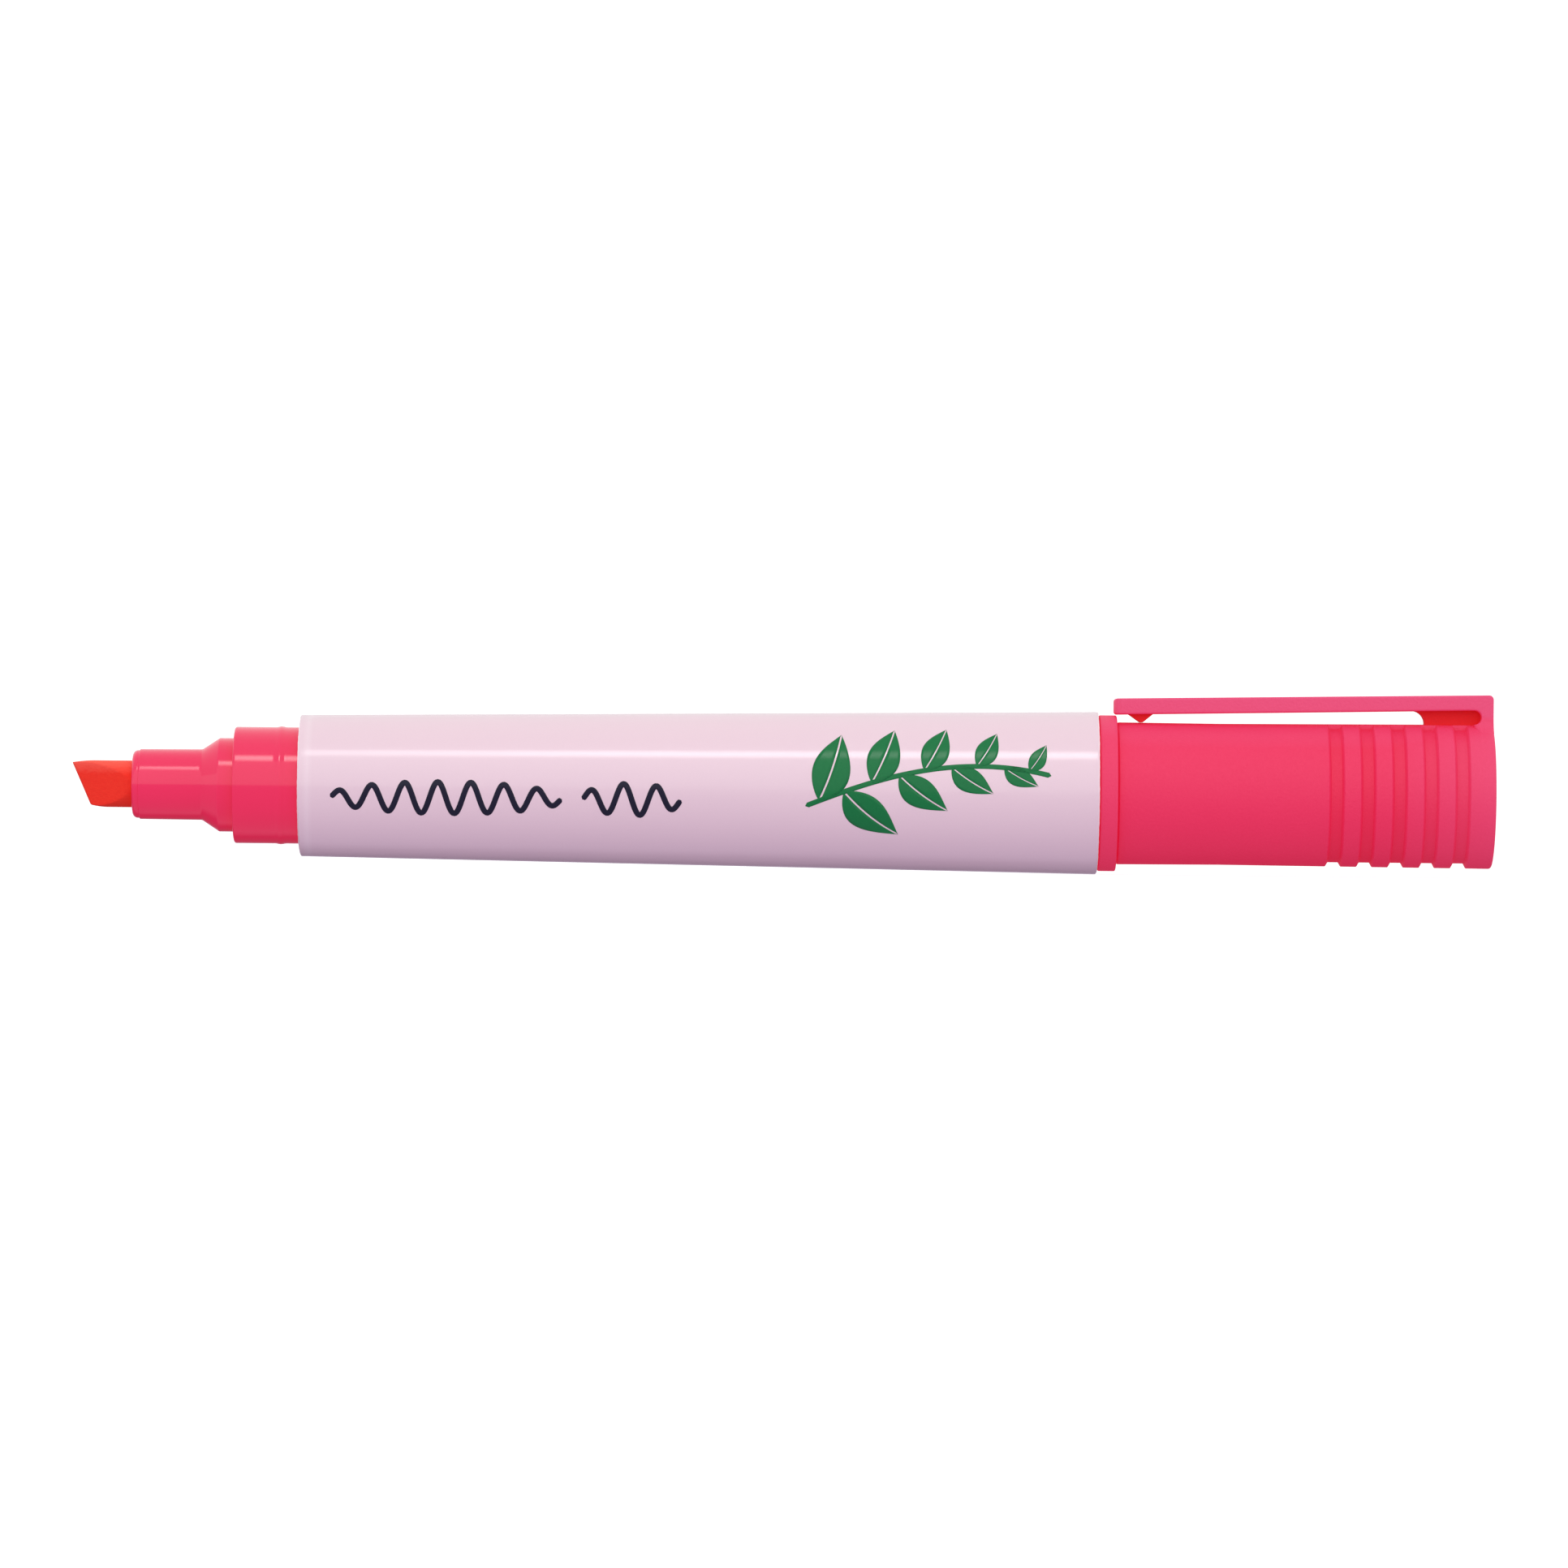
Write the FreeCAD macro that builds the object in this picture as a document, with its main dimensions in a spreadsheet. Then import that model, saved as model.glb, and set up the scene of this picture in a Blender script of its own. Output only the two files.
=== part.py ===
import FreeCAD, Part
import os
import Sketcher
from FreeCAD import Placement, Rotation, Vector

# A pocket highlighter with its cap pushed onto the tail. The pen's axis is X: the nib points to -X
# and the cap's closed end to +X. The clip is on top, at +Z. Each sub-part is drawn about its own
# axis, with x = 0 at the barrel's front shoulder, and its Placement then moves it into the row
# frame, whose origin is under the middle of the pen on the surface that the pen lies on.

DRIVING_SIZES = (
    # alias, value, meaning (millimetres and degrees; x positions are from the front shoulder)
    ("nib_tip", -24.91, "x of the chisel's long corner"),
    ("nib_rear", 6.0, "x of the nib's rear end, inside the ink reservoir"),
    ("nib_radius", 2.545, "round section of the nib"),
    ("nib_slant", 22.0, "lean of the chisel edge from square"),
    ("nib_land", 0.3, "half the thickness of the chisel edge"),
    ("nib_flat_run", 5.6, "how far back the chisel's flats reach"),
    ("press_gap", 0.01, "radial gap left at a press fit"),
    ("rooting", 0.3, "how far an added rib, web or tooth reaches into the wall it grows from"),
    ("holder_front", -18.27, "x of the nib holder's front face"),
    ("holder_lip", 0.75, "length of the holder's slightly thinner front lip"),
    ("holder_lip_radius", 3.70, "outside of the front lip"),
    ("holder_round", 0.5, "rounding of the front lip"),
    ("holder_radius", 3.84, "outside of the straight part that the cap's seal grips"),
    ("cone_start", -10.71, "x where the holder starts to widen"),
    ("cone_end", -8.82, "x where the holder reaches its seat diameter"),
    ("seat_radius", 5.11, "outside of the holder where it is pressed into the neck"),
    ("holder_rear", 1.0, "x of the holder's rear end"),
    ("chamber_front", -9.2, "x where the bore behind the nib grip widens"),
    ("chamber_radius", 4.25, "air chamber inside the holder"),
    ("chamber_taper", 1.0, "length of the chamber's tapered front, and of the ribs' setback"),
    ("chamber_ribs", 4, "number of ribs that centre the nib in the chamber"),
    ("chamber_rib_width", 0.8, "width of each chamber rib"),
    ("neck_front", -7.17, "x of the neck's front rim"),
    ("neck_radius", 6.35, "outside of the neck that the cap slides over"),
    ("neck_round", 0.25, "rounding of the neck's front rim"),
    ("snap_offset", 2.08, "distance from a shoulder to the middle of its snap ring"),
    ("snap_width", 1.3, "width of a snap ring at its foot"),
    ("snap_crest", 0.18, "width of a snap ring at its crest"),
    ("snap_height", 0.09, "how far a snap ring stands out"),
    ("barrel_rear", 86.86, "x of the barrel's rear rim"),
    ("label_front_radius", 7.71, "outside of the label at the front shoulder"),
    ("label_rear_radius", 8.86, "outside of the label at the rear, the pen's largest radius"),
    ("label_film", 0.06, "thickness of the shrunk label film"),
    ("label_lip", 0.30, "how far the film is shrunk down over each end of the barrel"),
    ("shoulder_round", 0.3, "slope of the barrel's end corners under the film"),
    ("bore_step", 1.2, "x where the barrel's bore widens behind the neck"),
    ("bore_front_radius", 6.25, "bore of the barrel at the front"),
    ("bore_rear_radius", 7.45, "bore of the barrel at the rear"),
    ("rib_front", 2.0, "x where the reservoir ribs start"),
    ("rib_rear", 77.0, "x where the reservoir ribs end"),
    ("rib_count", 4, "number of reservoir ribs"),
    ("rib_width", 1.0, "width of each reservoir rib"),
    ("reservoir_front", 1.3, "x of the ink reservoir's front end"),
    ("reservoir_rear", 76.0, "x of the ink reservoir's rear end"),
    ("reservoir_radius", 4.9, "outside of the fibre core"),
    ("wrap_film", 0.1, "thickness of the film around the fibre core"),
    ("loose_gap", 0.04, "radial gap of the pieces that only lie in each other"),
    ("plug_front", 78.9, "x of the tail plug's front rim inside the barrel"),
    ("plug_wall", 1.0, "wall of the tail plug's sleeves"),
    ("plug_gap", 0.15, "radial gap between the plug's sleeve and the barrel's rear rim"),
    ("boss_front", 76.3, "x where the plug's boss meets the reservoir"),
    ("boss_radius", 2.6, "outside of the plug's boss"),
    ("flange_radius", 8.495, "outside of the tail plug's visible flange"),
    ("flange_front", 86.90, "x of the flange's front face"),
    ("flange_rear", 88.85, "x of the flange's rear face, the posted cap's stop"),
    ("flange_round", 0.18, "rounding of the flange's rims"),
    ("post_rear", 96.0, "x of the rear end of the stub that holds the posted cap"),
    ("post_floor", 90.4, "x of the floor of the hollow in the stub"),
    ("cap_mouth", 88.94, "x of the cap's mouth"),
    ("cap_end", 129.82, "x of the cap's closed end face"),
    ("cap_mouth_radius", 7.745, "outside of the cap at the mouth"),
    ("cap_waist", 100.0, "x where the cap is thinnest"),
    ("cap_waist_radius", 7.69, "outside of the cap at its waist"),
    ("cap_end_radius", 7.86, "outside of the cap at its closed end"),
    ("cap_mouth_round", 0.2, "rounding of the cap's mouth"),
    ("cap_end_round", 0.27, "rounding of the cap's closed end"),
    ("cap_bore_radius", 6.49, "bore that slides over the neck and the stub"),
    ("liner_mouth", 102.0, "x of the inner seal cup's mouth"),
    ("liner_seat", 121.0, "x of the step that the seal cup rests on"),
    ("liner_seat_radius", 6.2, "bore that the seal cup's flange is pressed into"),
    ("cap_back", 127.9, "x of the cap's inner end face"),
    ("cap_back_radius", 5.4, "bore behind the seal cup"),
    ("liner_bore_radius", 3.90, "bore of the seal cup"),
    ("liner_wall", 0.85, "wall of the seal cup"),
    ("liner_floor", 118.6, "x of the seal cup's floor"),
    ("liner_lead", 0.35, "chamfer that guides the nib holder into the seal cup"),
    ("groove_first", 112.57, "x of the middle of the first grip groove"),
    ("groove_pitch", 3.41, "distance from groove to groove"),
    ("groove_count", 5, "number of grip grooves"),
    ("groove_floor_width", 1.15, "width of a groove at its floor"),
    ("groove_floor_radius", 7.30, "radius of a groove's floor"),
    ("groove_flare", 0.55, "how much each groove wall leans out for each millimetre of height"),
    ("groove_over", 8.1, "radius up to which the groove's outline is drawn"),
    ("spine_front", 110.8, "x where the spine under the clip starts"),
    ("spine_rear", 129.0, "x where the spine ends, inside the end block"),
    ("spine_width", 2.4, "width of the spine and of the web on it"),
    ("spine_top", 7.80, "height of the spine above the axis"),
    ("spine_lead", 0.5, "length of the slope at the spine's front end"),
    ("spine_fall", 0.06, "how much lower the spine is at its front end"),
    ("spine_root", 7.0, "height inside the cap's wall where the added pieces start"),
    ("clip_tip", 88.58, "x of the clip's tip"),
    ("clip_split", 117.0, "x of the line that the clip bends about"),
    ("clip_split_gap", 0.02, "gap drawn at that line"),
    ("clip_width", 5.2, "width of the clip"),
    ("clip_tip_under", 8.58, "height of the clip's underside at the tip"),
    ("clip_tip_top", 10.33, "height of the clip's outer face at the tip"),
    ("clip_root_under", 9.38, "height of the slot's top at the root"),
    ("clip_root_top", 11.06, "height of the clip's outer face at the root"),
    ("clip_tip_round", 0.35, "rounding of the tip, seen from the side"),
    ("clip_nose_round", 1.0, "rounding of the tip, seen from above"),
    ("clip_root_round", 0.5, "rounding of the corner above the closed end"),
    ("tooth_front", 90.18, "x where the tooth under the tip starts"),
    ("tooth_rear", 92.81, "x where the tooth ends"),
    ("tooth_apex", 91.55, "x of the tooth's point"),
    ("tooth_apex_width", 0.4, "length of the tooth's blunt point"),
    ("tooth_apex_height", 7.76, "height of the tooth's point above the axis"),
    ("tooth_width", 3.4, "width of the tooth across the clip"),
    ("slot_round", 0.775, "radius of the round end of the slot under the clip"),
    ("slot_centre", 127.72, "x of the middle of that round end"),
    ("slot_height", 8.605, "height of the middle of the slot above the axis"),
    ("web_front", 122.39, "x of the front edge of the web in the slot"),
    ("web_fillet", 1.1, "fillet between the web and the clip"),
)


SAME = 1e-3  # two lengths or volumes closer than this are the same
NEAR = 0.05  # an edge whose middle is closer than this to a point is the edge meant


class Size:
    """A length with the sheet formula that it comes from, so that both stay together."""

    def __init__(self, formula, value):
        self.formula = str(formula)
        self.value = float(value)

    def __add__(self, other):
        other = as_size(other)
        return Size(f"({self.formula} + {other.formula})", self.value + other.value)

    def __sub__(self, other):
        other = as_size(other)
        return Size(f"({self.formula} - {other.formula})", self.value - other.value)

    def __mul__(self, other):
        other = as_size(other)
        return Size(f"({self.formula} * {other.formula})", self.value * other.value)

    def __truediv__(self, other):
        other = as_size(other)
        return Size(f"({self.formula} / {other.formula})", self.value / other.value)


def as_size(value):
    """The value itself if it is a Size, or a plain number as one."""
    return value if isinstance(value, Size) else Size(value, value)


doc = FreeCAD.newDocument("Highlighter")
sheet = doc.addObject("Spreadsheet::Sheet", "Sizes")
S = {}
for row, (alias, number, meaning) in enumerate(DRIVING_SIZES, start=1):
    sheet.set(f"A{row}", meaning)
    sheet.set(f"B{row}", str(number))
    sheet.setAlias(f"B{row}", alias)
    S[alias] = Size(f"Sizes.{alias}", number)
doc.recompute()


def between(x, start, end):
    """The height at x on the straight line from the point start to the point end."""
    return start[1] + (end[1] - start[1]) * (x - start[0]) / (end[0] - start[0])


def origin_feature(body, role):
    """One of the body's own origin planes or axes."""
    return next(f for f in body.Origin.OriginFeatures if f.Role == role)


def new_body(label):
    """An empty body that is placed in the row frame by the sheet."""
    body = doc.addObject("PartDesign::Body", label.title().replace("_", ""))
    body.Label = label
    body.setExpression("Placement.Base.x", "-(Sizes.nib_tip + Sizes.cap_end) / 2")
    body.setExpression("Placement.Base.z", "Sizes.label_rear_radius")
    return body


def new_sketch(body, name, role="XZ_Plane"):
    """An empty sketch on one of the body's origin planes; on XZ_Plane it is drawn in x and z."""
    sketch = body.newObject("Sketcher::SketchObject", name)
    sketch.AttachmentSupport = [(origin_feature(body, role), "")]
    sketch.MapMode = "FlatFace"
    return sketch


def hold(sketch, kind, *where, size):
    """Adds one dimension to the sketch and binds it to the size's formula."""
    index = sketch.addConstraint(Sketcher.Constraint(kind, *where, size.value))
    sketch.setExpression(f"Constraints[{index}]", size.formula)


def polygon(sketch, points):
    """Draws a closed outline, each corner held by its two distances from the sketch's origin."""
    points = [(as_size(x), as_size(y)) for x, y in points]
    corners = [Vector(x.value, y.value, 0) for x, y in points]
    for start, end in zip(corners, corners[1:] + corners[:1]):
        sketch.addGeometry(Part.LineSegment(start, end), False)
    for line, (x, y) in enumerate(points):
        following = (line + 1) % len(points)
        sketch.addConstraint(Sketcher.Constraint("Coincident", line, 2, following, 1))
        hold(sketch, "DistanceX", -1, 1, line, 1, size=x)
        hold(sketch, "DistanceY", -1, 1, line, 1, size=y)
    return sketch


def finished(body, feature):
    """Recomputes, makes the feature the body's tip, and returns it."""
    body.Tip = feature
    doc.recompute()
    if not feature.isValid() or feature.Shape.isNull():
        raise RuntimeError(f"{body.Label}: {feature.Name} failed")
    return feature


def cut(body, feature, volume_before):
    """Finishes a feature that removes material, and makes sure that it did."""
    finished(body, feature)
    if feature.Shape.Volume > volume_before - SAME:
        raise RuntimeError(f"{body.Label}: {feature.Name} cuts nothing")
    return feature


def turned(body, name, points):
    """A solid of revolution about the pen's axis from an outline in x and radius."""
    revolution = body.newObject("PartDesign::Revolution", name)
    revolution.Profile = polygon(new_sketch(body, f"{name}Outline"), points)
    revolution.ReferenceAxis = (revolution.Profile[0], ["H_Axis"])
    revolution.Angle = 360
    return finished(body, revolution)


def bar(body, name, points, width):
    """A straight bar of the given width across the pen, from an outline in x and z."""
    pad = body.newObject("PartDesign::Pad", name)
    pad.Profile = polygon(new_sketch(body, f"{name}Outline"), points)
    pad.setExpression("Length", width.formula)
    pad.Midplane = True
    return finished(body, pad)


def around(body, name, feature, count):
    """Repeats a feature in equal steps around the pen's axis."""
    pattern = body.newObject("PartDesign::PolarPattern", name)
    pattern.Originals = [feature]
    pattern.Axis = (origin_feature(body, "X_Axis"), [""])
    pattern.Angle = 360
    pattern.setExpression("Occurrences", count.formula)
    return finished(body, pattern)


def rims(shape, *places):
    """The names of the circular edges about the axis at the given positions and radii."""
    names = []
    for x, radius in places:
        for index, edge in enumerate(shape.Edges, start=1):
            curve = edge.Curve
            if isinstance(curve, Part.Circle) and abs(curve.Radius - radius.value) < SAME:
                if abs(curve.Center.x - x.value) < SAME:
                    names.append(f"Edge{index}")
    return names


def straight_edges(shape, *places):
    """The names of the edges whose middles are at the given x, y and z."""
    names = []
    for place in places:
        point = Vector(*(as_size(value).value for value in place))
        for index, edge in enumerate(shape.Edges, start=1):
            if (edge.CenterOfMass - point).Length < NEAR:
                names.append(f"Edge{index}")
    return names


def rounded(body, name, radius, edge_names):
    """Rounds the named edges of the body's tip."""
    if not edge_names:
        raise RuntimeError(f"{body.Label}: {name} finds no edge")
    base = body.Tip
    fillet = body.newObject("PartDesign::Fillet", name)
    fillet.Base = (base, edge_names)
    fillet.setExpression("Radius", radius.formula)
    return finished(body, fillet)


def snap_ring(shoulder, side, radius):
    """Outline points of a low ring on a cylinder; side is +1 or -1, away from the shoulder."""
    middle = shoulder + S["snap_offset"] * side
    foot = S["snap_width"] / 2 * side
    crest = S["snap_crest"] / 2 * side
    top = radius + S["snap_height"]
    return [(middle - foot, radius), (middle - crest, top), (middle + crest, top), (middle + foot, radius)]


def make_nib():
    """A round fibre rod whose front is cut to a slanted chisel with two flats."""
    body = new_body("nib")
    turned(body, "Rod", [
        (S["nib_tip"], 0),
        (S["nib_tip"], S["nib_radius"]),
        (S["nib_rear"], S["nib_radius"]),
        (S["nib_rear"], 0),
    ])
    volume = body.Tip.Shape.Volume
    # the sketch leans with the chisel edge and has its origin at the long corner
    sketch = new_sketch(body, "FlatsOutline", "XY_Plane")
    sketch.AttachmentOffset = Placement(Vector(0, 0, 0), Rotation(Vector(0, -1, 0), S["nib_slant"].value))
    sketch.setExpression("AttachmentOffset.Rotation.Angle", S["nib_slant"].formula)
    sketch.setExpression("AttachmentOffset.Base.x", S["nib_tip"].formula)
    sketch.setExpression("AttachmentOffset.Base.z", S["nib_radius"].formula)
    clear = S["nib_radius"] * 2
    polygon(sketch, [
        (S["nib_flat_run"], S["nib_radius"]),
        (0, S["nib_land"]),
        (0, S["nib_land"] * -1),
        (S["nib_flat_run"], S["nib_radius"] * -1),
        (S["nib_flat_run"], clear * -1),
        (clear * -1, clear * -1),
        (clear * -1, clear),
        (S["nib_flat_run"], clear),
    ])
    pocket = body.newObject("PartDesign::Pocket", "Flats")
    pocket.Profile = sketch
    pocket.Type = "ThroughAll"
    pocket.Midplane = True
    cut(body, pocket, volume)
    return body


def make_nib_holder():
    """The tapered front piece that grips the nib and is pressed into the neck."""
    body = new_body("nib_holder")
    grip = S["nib_radius"] + S["press_gap"]
    lip_end = S["holder_front"] + S["holder_lip"]
    taper_front = S["chamber_front"] - S["chamber_taper"]
    rib_rear = S["holder_rear"] - S["chamber_taper"]
    rib_root = S["chamber_radius"] + S["rooting"]
    turned(body, "Shell", [
        (S["holder_front"], grip),
        (S["holder_front"], S["holder_lip_radius"]),
        (lip_end, S["holder_lip_radius"]),
        (lip_end, S["holder_radius"]),
        (S["cone_start"], S["holder_radius"]),
        (S["cone_end"], S["seat_radius"]),
        (S["holder_rear"], S["seat_radius"]),
        (S["holder_rear"], S["chamber_radius"]),
        (S["chamber_front"], S["chamber_radius"]),
        (taper_front, grip),
    ])
    rib = bar(body, "ChamberRib", [
        (taper_front, grip),
        (rib_rear, grip),
        (rib_rear, rib_root),
        (S["chamber_front"], rib_root),
    ], S["chamber_rib_width"])
    around(body, "ChamberRibs", rib, S["chamber_ribs"])
    rounded(body, "LipRound", S["holder_round"],
            rims(body.Tip.Shape, (S["holder_front"], S["holder_lip_radius"])))
    return body


def make_barrel():
    """The tapered tube with its neck; the neck's snap ring holds the cap when the pen is closed."""
    body = new_body("barrel")
    seat = S["seat_radius"] + S["press_gap"]
    front = S["label_front_radius"] - S["label_film"]
    rear = S["label_rear_radius"] - S["label_film"]
    corner = S["shoulder_round"]
    turned(body, "Tube", [
        (S["neck_front"], seat),
        (S["neck_front"], S["neck_radius"]),
        *reversed(snap_ring(as_size(0), -1, S["neck_radius"])),
        (0, S["neck_radius"]),
        (0, front - corner),
        (corner, front),
        (S["barrel_rear"] - corner, rear),
        (S["barrel_rear"], rear - corner),
        (S["barrel_rear"], S["bore_rear_radius"]),
        (S["bore_step"], S["bore_front_radius"]),
        (S["bore_step"], seat),
    ])
    rib_inside = S["reservoir_radius"] + S["wrap_film"] + S["loose_gap"]
    bore_line = ((S["bore_step"], S["bore_front_radius"]), (S["barrel_rear"], S["bore_rear_radius"]))
    rib = bar(body, "ReservoirRib", [
        (S["rib_front"], rib_inside),
        (S["rib_rear"], rib_inside),
        (S["rib_rear"], between(S["rib_rear"], *bore_line) + S["rooting"]),
        (S["rib_front"], between(S["rib_front"], *bore_line) + S["rooting"]),
    ], S["rib_width"])
    around(body, "ReservoirRibs", rib, S["rib_count"])
    rounded(body, "NeckRound", S["neck_round"],
            rims(body.Tip.Shape, (S["neck_front"], S["neck_radius"])))
    return body


def make_label_sleeve():
    """The printed film that is shrunk over the barrel and round both of its end corners."""
    body = new_body("label_sleeve")
    film = S["label_film"]
    front = S["label_front_radius"]
    rear = S["label_rear_radius"]
    corner = S["shoulder_round"]
    inside_front = front - film
    inside_rear = rear - film
    turned(body, "Film", [
        (film * -1, front - corner - S["label_lip"] / 2),
        (film * -1, front - corner),
        (corner - film, front),
        (S["barrel_rear"] - corner, rear),
        (S["barrel_rear"] + film / 2, rear - corner),
        (S["barrel_rear"] + film / 2, rear - corner - film),
        (S["barrel_rear"], rear - corner - film),
        (S["barrel_rear"] - corner, inside_rear),
        (corner, inside_front),
        (0, inside_front - corner),
        (0, front - corner - S["label_lip"] / 2),
    ])
    return body


def make_ink_reservoir():
    """The fibre core that holds the ink, with the pocket that takes the nib's rear end."""
    body = new_body("ink_reservoir")
    pocket = S["nib_radius"] + S["press_gap"]
    turned(body, "Core", [
        (S["reservoir_front"], pocket),
        (S["reservoir_front"], S["reservoir_radius"]),
        (S["reservoir_rear"], S["reservoir_radius"]),
        (S["reservoir_rear"], 0),
        (S["nib_rear"] + S["loose_gap"], 0),
        (S["nib_rear"] + S["loose_gap"], pocket),
    ])
    return body


def make_reservoir_wrap():
    """The plastic film around the fibre core."""
    body = new_body("reservoir_wrap")
    inside = S["reservoir_radius"] + S["press_gap"]
    outside = S["reservoir_radius"] + S["wrap_film"]
    turned(body, "Film", [
        (S["reservoir_front"], inside),
        (S["reservoir_front"], outside),
        (S["reservoir_rear"], outside),
        (S["reservoir_rear"], inside),
    ])
    return body


def make_tail_plug():
    """The plug that closes the barrel: sleeve and boss inside, flange, and the posting stub."""
    body = new_body("tail_plug")
    sleeve = S["bore_rear_radius"] - S["plug_gap"]
    inside = sleeve - S["plug_wall"]
    turned(body, "Plug", [
        (S["boss_front"], 0),
        (S["boss_front"], S["boss_radius"]),
        (S["flange_front"], S["boss_radius"]),
        (S["flange_front"], inside),
        (S["plug_front"], inside),
        (S["plug_front"], sleeve),
        (S["flange_front"], sleeve),
        (S["flange_front"], S["flange_radius"]),
        (S["flange_rear"], S["flange_radius"]),
        (S["flange_rear"], S["neck_radius"]),
        *snap_ring(S["flange_rear"], 1, S["neck_radius"]),
        (S["post_rear"], S["neck_radius"]),
        (S["post_rear"], S["neck_radius"] - S["plug_wall"]),
        (S["post_floor"], S["neck_radius"] - S["plug_wall"]),
        (S["post_floor"], 0),
    ])
    rounded(body, "FlangeRound", S["flange_round"], rims(
        body.Tip.Shape,
        (S["flange_front"], S["flange_radius"]),
        (S["flange_rear"], S["flange_radius"]),
    ))
    rounded(body, "StubRound", S["neck_round"],
            rims(body.Tip.Shape, (S["post_rear"], S["neck_radius"])))
    return body


def clip_top(x):
    """Height of the clip's outer face at x."""
    return between(x, (S["clip_tip"], S["clip_tip_top"]), (S["cap_end"], S["clip_root_top"]))


def clip_under(x):
    """Height of the clip's underside at x."""
    return between(x, (S["clip_tip"], S["clip_tip_under"]), (S["slot_centre"], S["clip_root_under"]))


def make_cap_shell():
    """The cap: bored tube, grip grooves, spine, and the block and web that the clip grows from."""
    body = new_body("cap_shell")
    seat = S["liner_seat_radius"]
    turned(body, "Shell", [
        (S["cap_mouth"], S["cap_bore_radius"]),
        (S["cap_mouth"], S["cap_mouth_radius"]),
        (S["cap_waist"], S["cap_waist_radius"]),
        (S["cap_end"], S["cap_end_radius"]),
        (S["cap_end"], 0),
        (S["cap_back"], 0),
        (S["cap_back"], S["cap_back_radius"]),
        (S["liner_seat"], S["cap_back_radius"]),
        (S["liner_seat"], seat),
        (S["liner_mouth"], seat),
        (S["liner_mouth"], S["cap_bore_radius"]),
    ])
    rounded(body, "MouthRound", S["cap_mouth_round"],
            rims(body.Tip.Shape, (S["cap_mouth"], S["cap_mouth_radius"])))
    rounded(body, "EndRound", S["cap_end_round"],
            rims(body.Tip.Shape, (S["cap_end"], S["cap_end_radius"])))

    volume = body.Tip.Shape.Volume
    floor_half = S["groove_floor_width"] / 2
    over_half = floor_half + (S["groove_over"] - S["groove_floor_radius"]) * S["groove_flare"]
    groove = body.newObject("PartDesign::Groove", "GripGroove")
    groove.Profile = polygon(new_sketch(body, "GripGrooveOutline"), [
        (S["groove_first"] - over_half, S["groove_over"]),
        (S["groove_first"] - floor_half, S["groove_floor_radius"]),
        (S["groove_first"] + floor_half, S["groove_floor_radius"]),
        (S["groove_first"] + over_half, S["groove_over"]),
    ])
    groove.ReferenceAxis = (groove.Profile[0], ["H_Axis"])
    groove.Angle = 360
    cut(body, groove, volume)
    volume = groove.Shape.Volume
    grooves = body.newObject("PartDesign::LinearPattern", "GripGrooves")
    grooves.Originals = [groove]
    grooves.Direction = (origin_feature(body, "X_Axis"), [""])
    grooves.setExpression("Length", (S["groove_pitch"] * (S["groove_count"] - 1)).formula)
    grooves.setExpression("Occurrences", S["groove_count"].formula)
    cut(body, grooves, volume)

    bar(body, "Spine", [
        (S["spine_front"], S["spine_root"]),
        (S["spine_rear"], S["spine_root"]),
        (S["spine_rear"], S["spine_top"]),
        (S["spine_front"] + S["spine_lead"], S["spine_top"] - S["spine_fall"]),
    ], S["spine_width"])
    bar(body, "ClipRoot", [
        (S["clip_split"], clip_under(S["clip_split"])),
        (S["slot_centre"], S["clip_root_under"]),
        (S["slot_centre"], S["spine_root"]),
        (S["cap_end"], S["spine_root"]),
        (S["cap_end"], S["clip_root_top"]),
        (S["clip_split"], clip_top(S["clip_split"])),
    ], S["clip_width"])
    rounded(body, "RootRound", S["clip_root_round"],
            straight_edges(body.Tip.Shape, (S["cap_end"], 0, S["clip_root_top"])))

    volume = body.Tip.Shape.Volume
    end_sketch = new_sketch(body, "SlotEndOutline")
    middle = Vector(S["slot_centre"].value, S["slot_height"].value, 0)
    end_sketch.addGeometry(Part.Circle(middle, Vector(0, 0, 1), S["slot_round"].value), False)
    hold(end_sketch, "DistanceX", -1, 1, 0, 3, size=S["slot_centre"])
    hold(end_sketch, "DistanceY", -1, 1, 0, 3, size=S["slot_height"])
    hold(end_sketch, "Radius", 0, size=S["slot_round"])
    slot_end = body.newObject("PartDesign::Pocket", "SlotEnd")
    slot_end.Profile = end_sketch
    slot_end.setExpression("Length", (S["clip_width"] * 2).formula)
    slot_end.Midplane = True
    cut(body, slot_end, volume)

    bar(body, "Web", [
        (S["web_front"], S["spine_root"]),
        (S["spine_rear"], S["spine_root"]),
        (S["spine_rear"], S["clip_root_under"] + S["rooting"]),
        (S["web_front"], clip_under(S["web_front"]) + S["rooting"]),
    ], S["spine_width"])
    rounded(body, "WebFillet", S["web_fillet"],
            straight_edges(body.Tip.Shape, (S["web_front"], 0, clip_under(S["web_front"]))))
    return body


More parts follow.
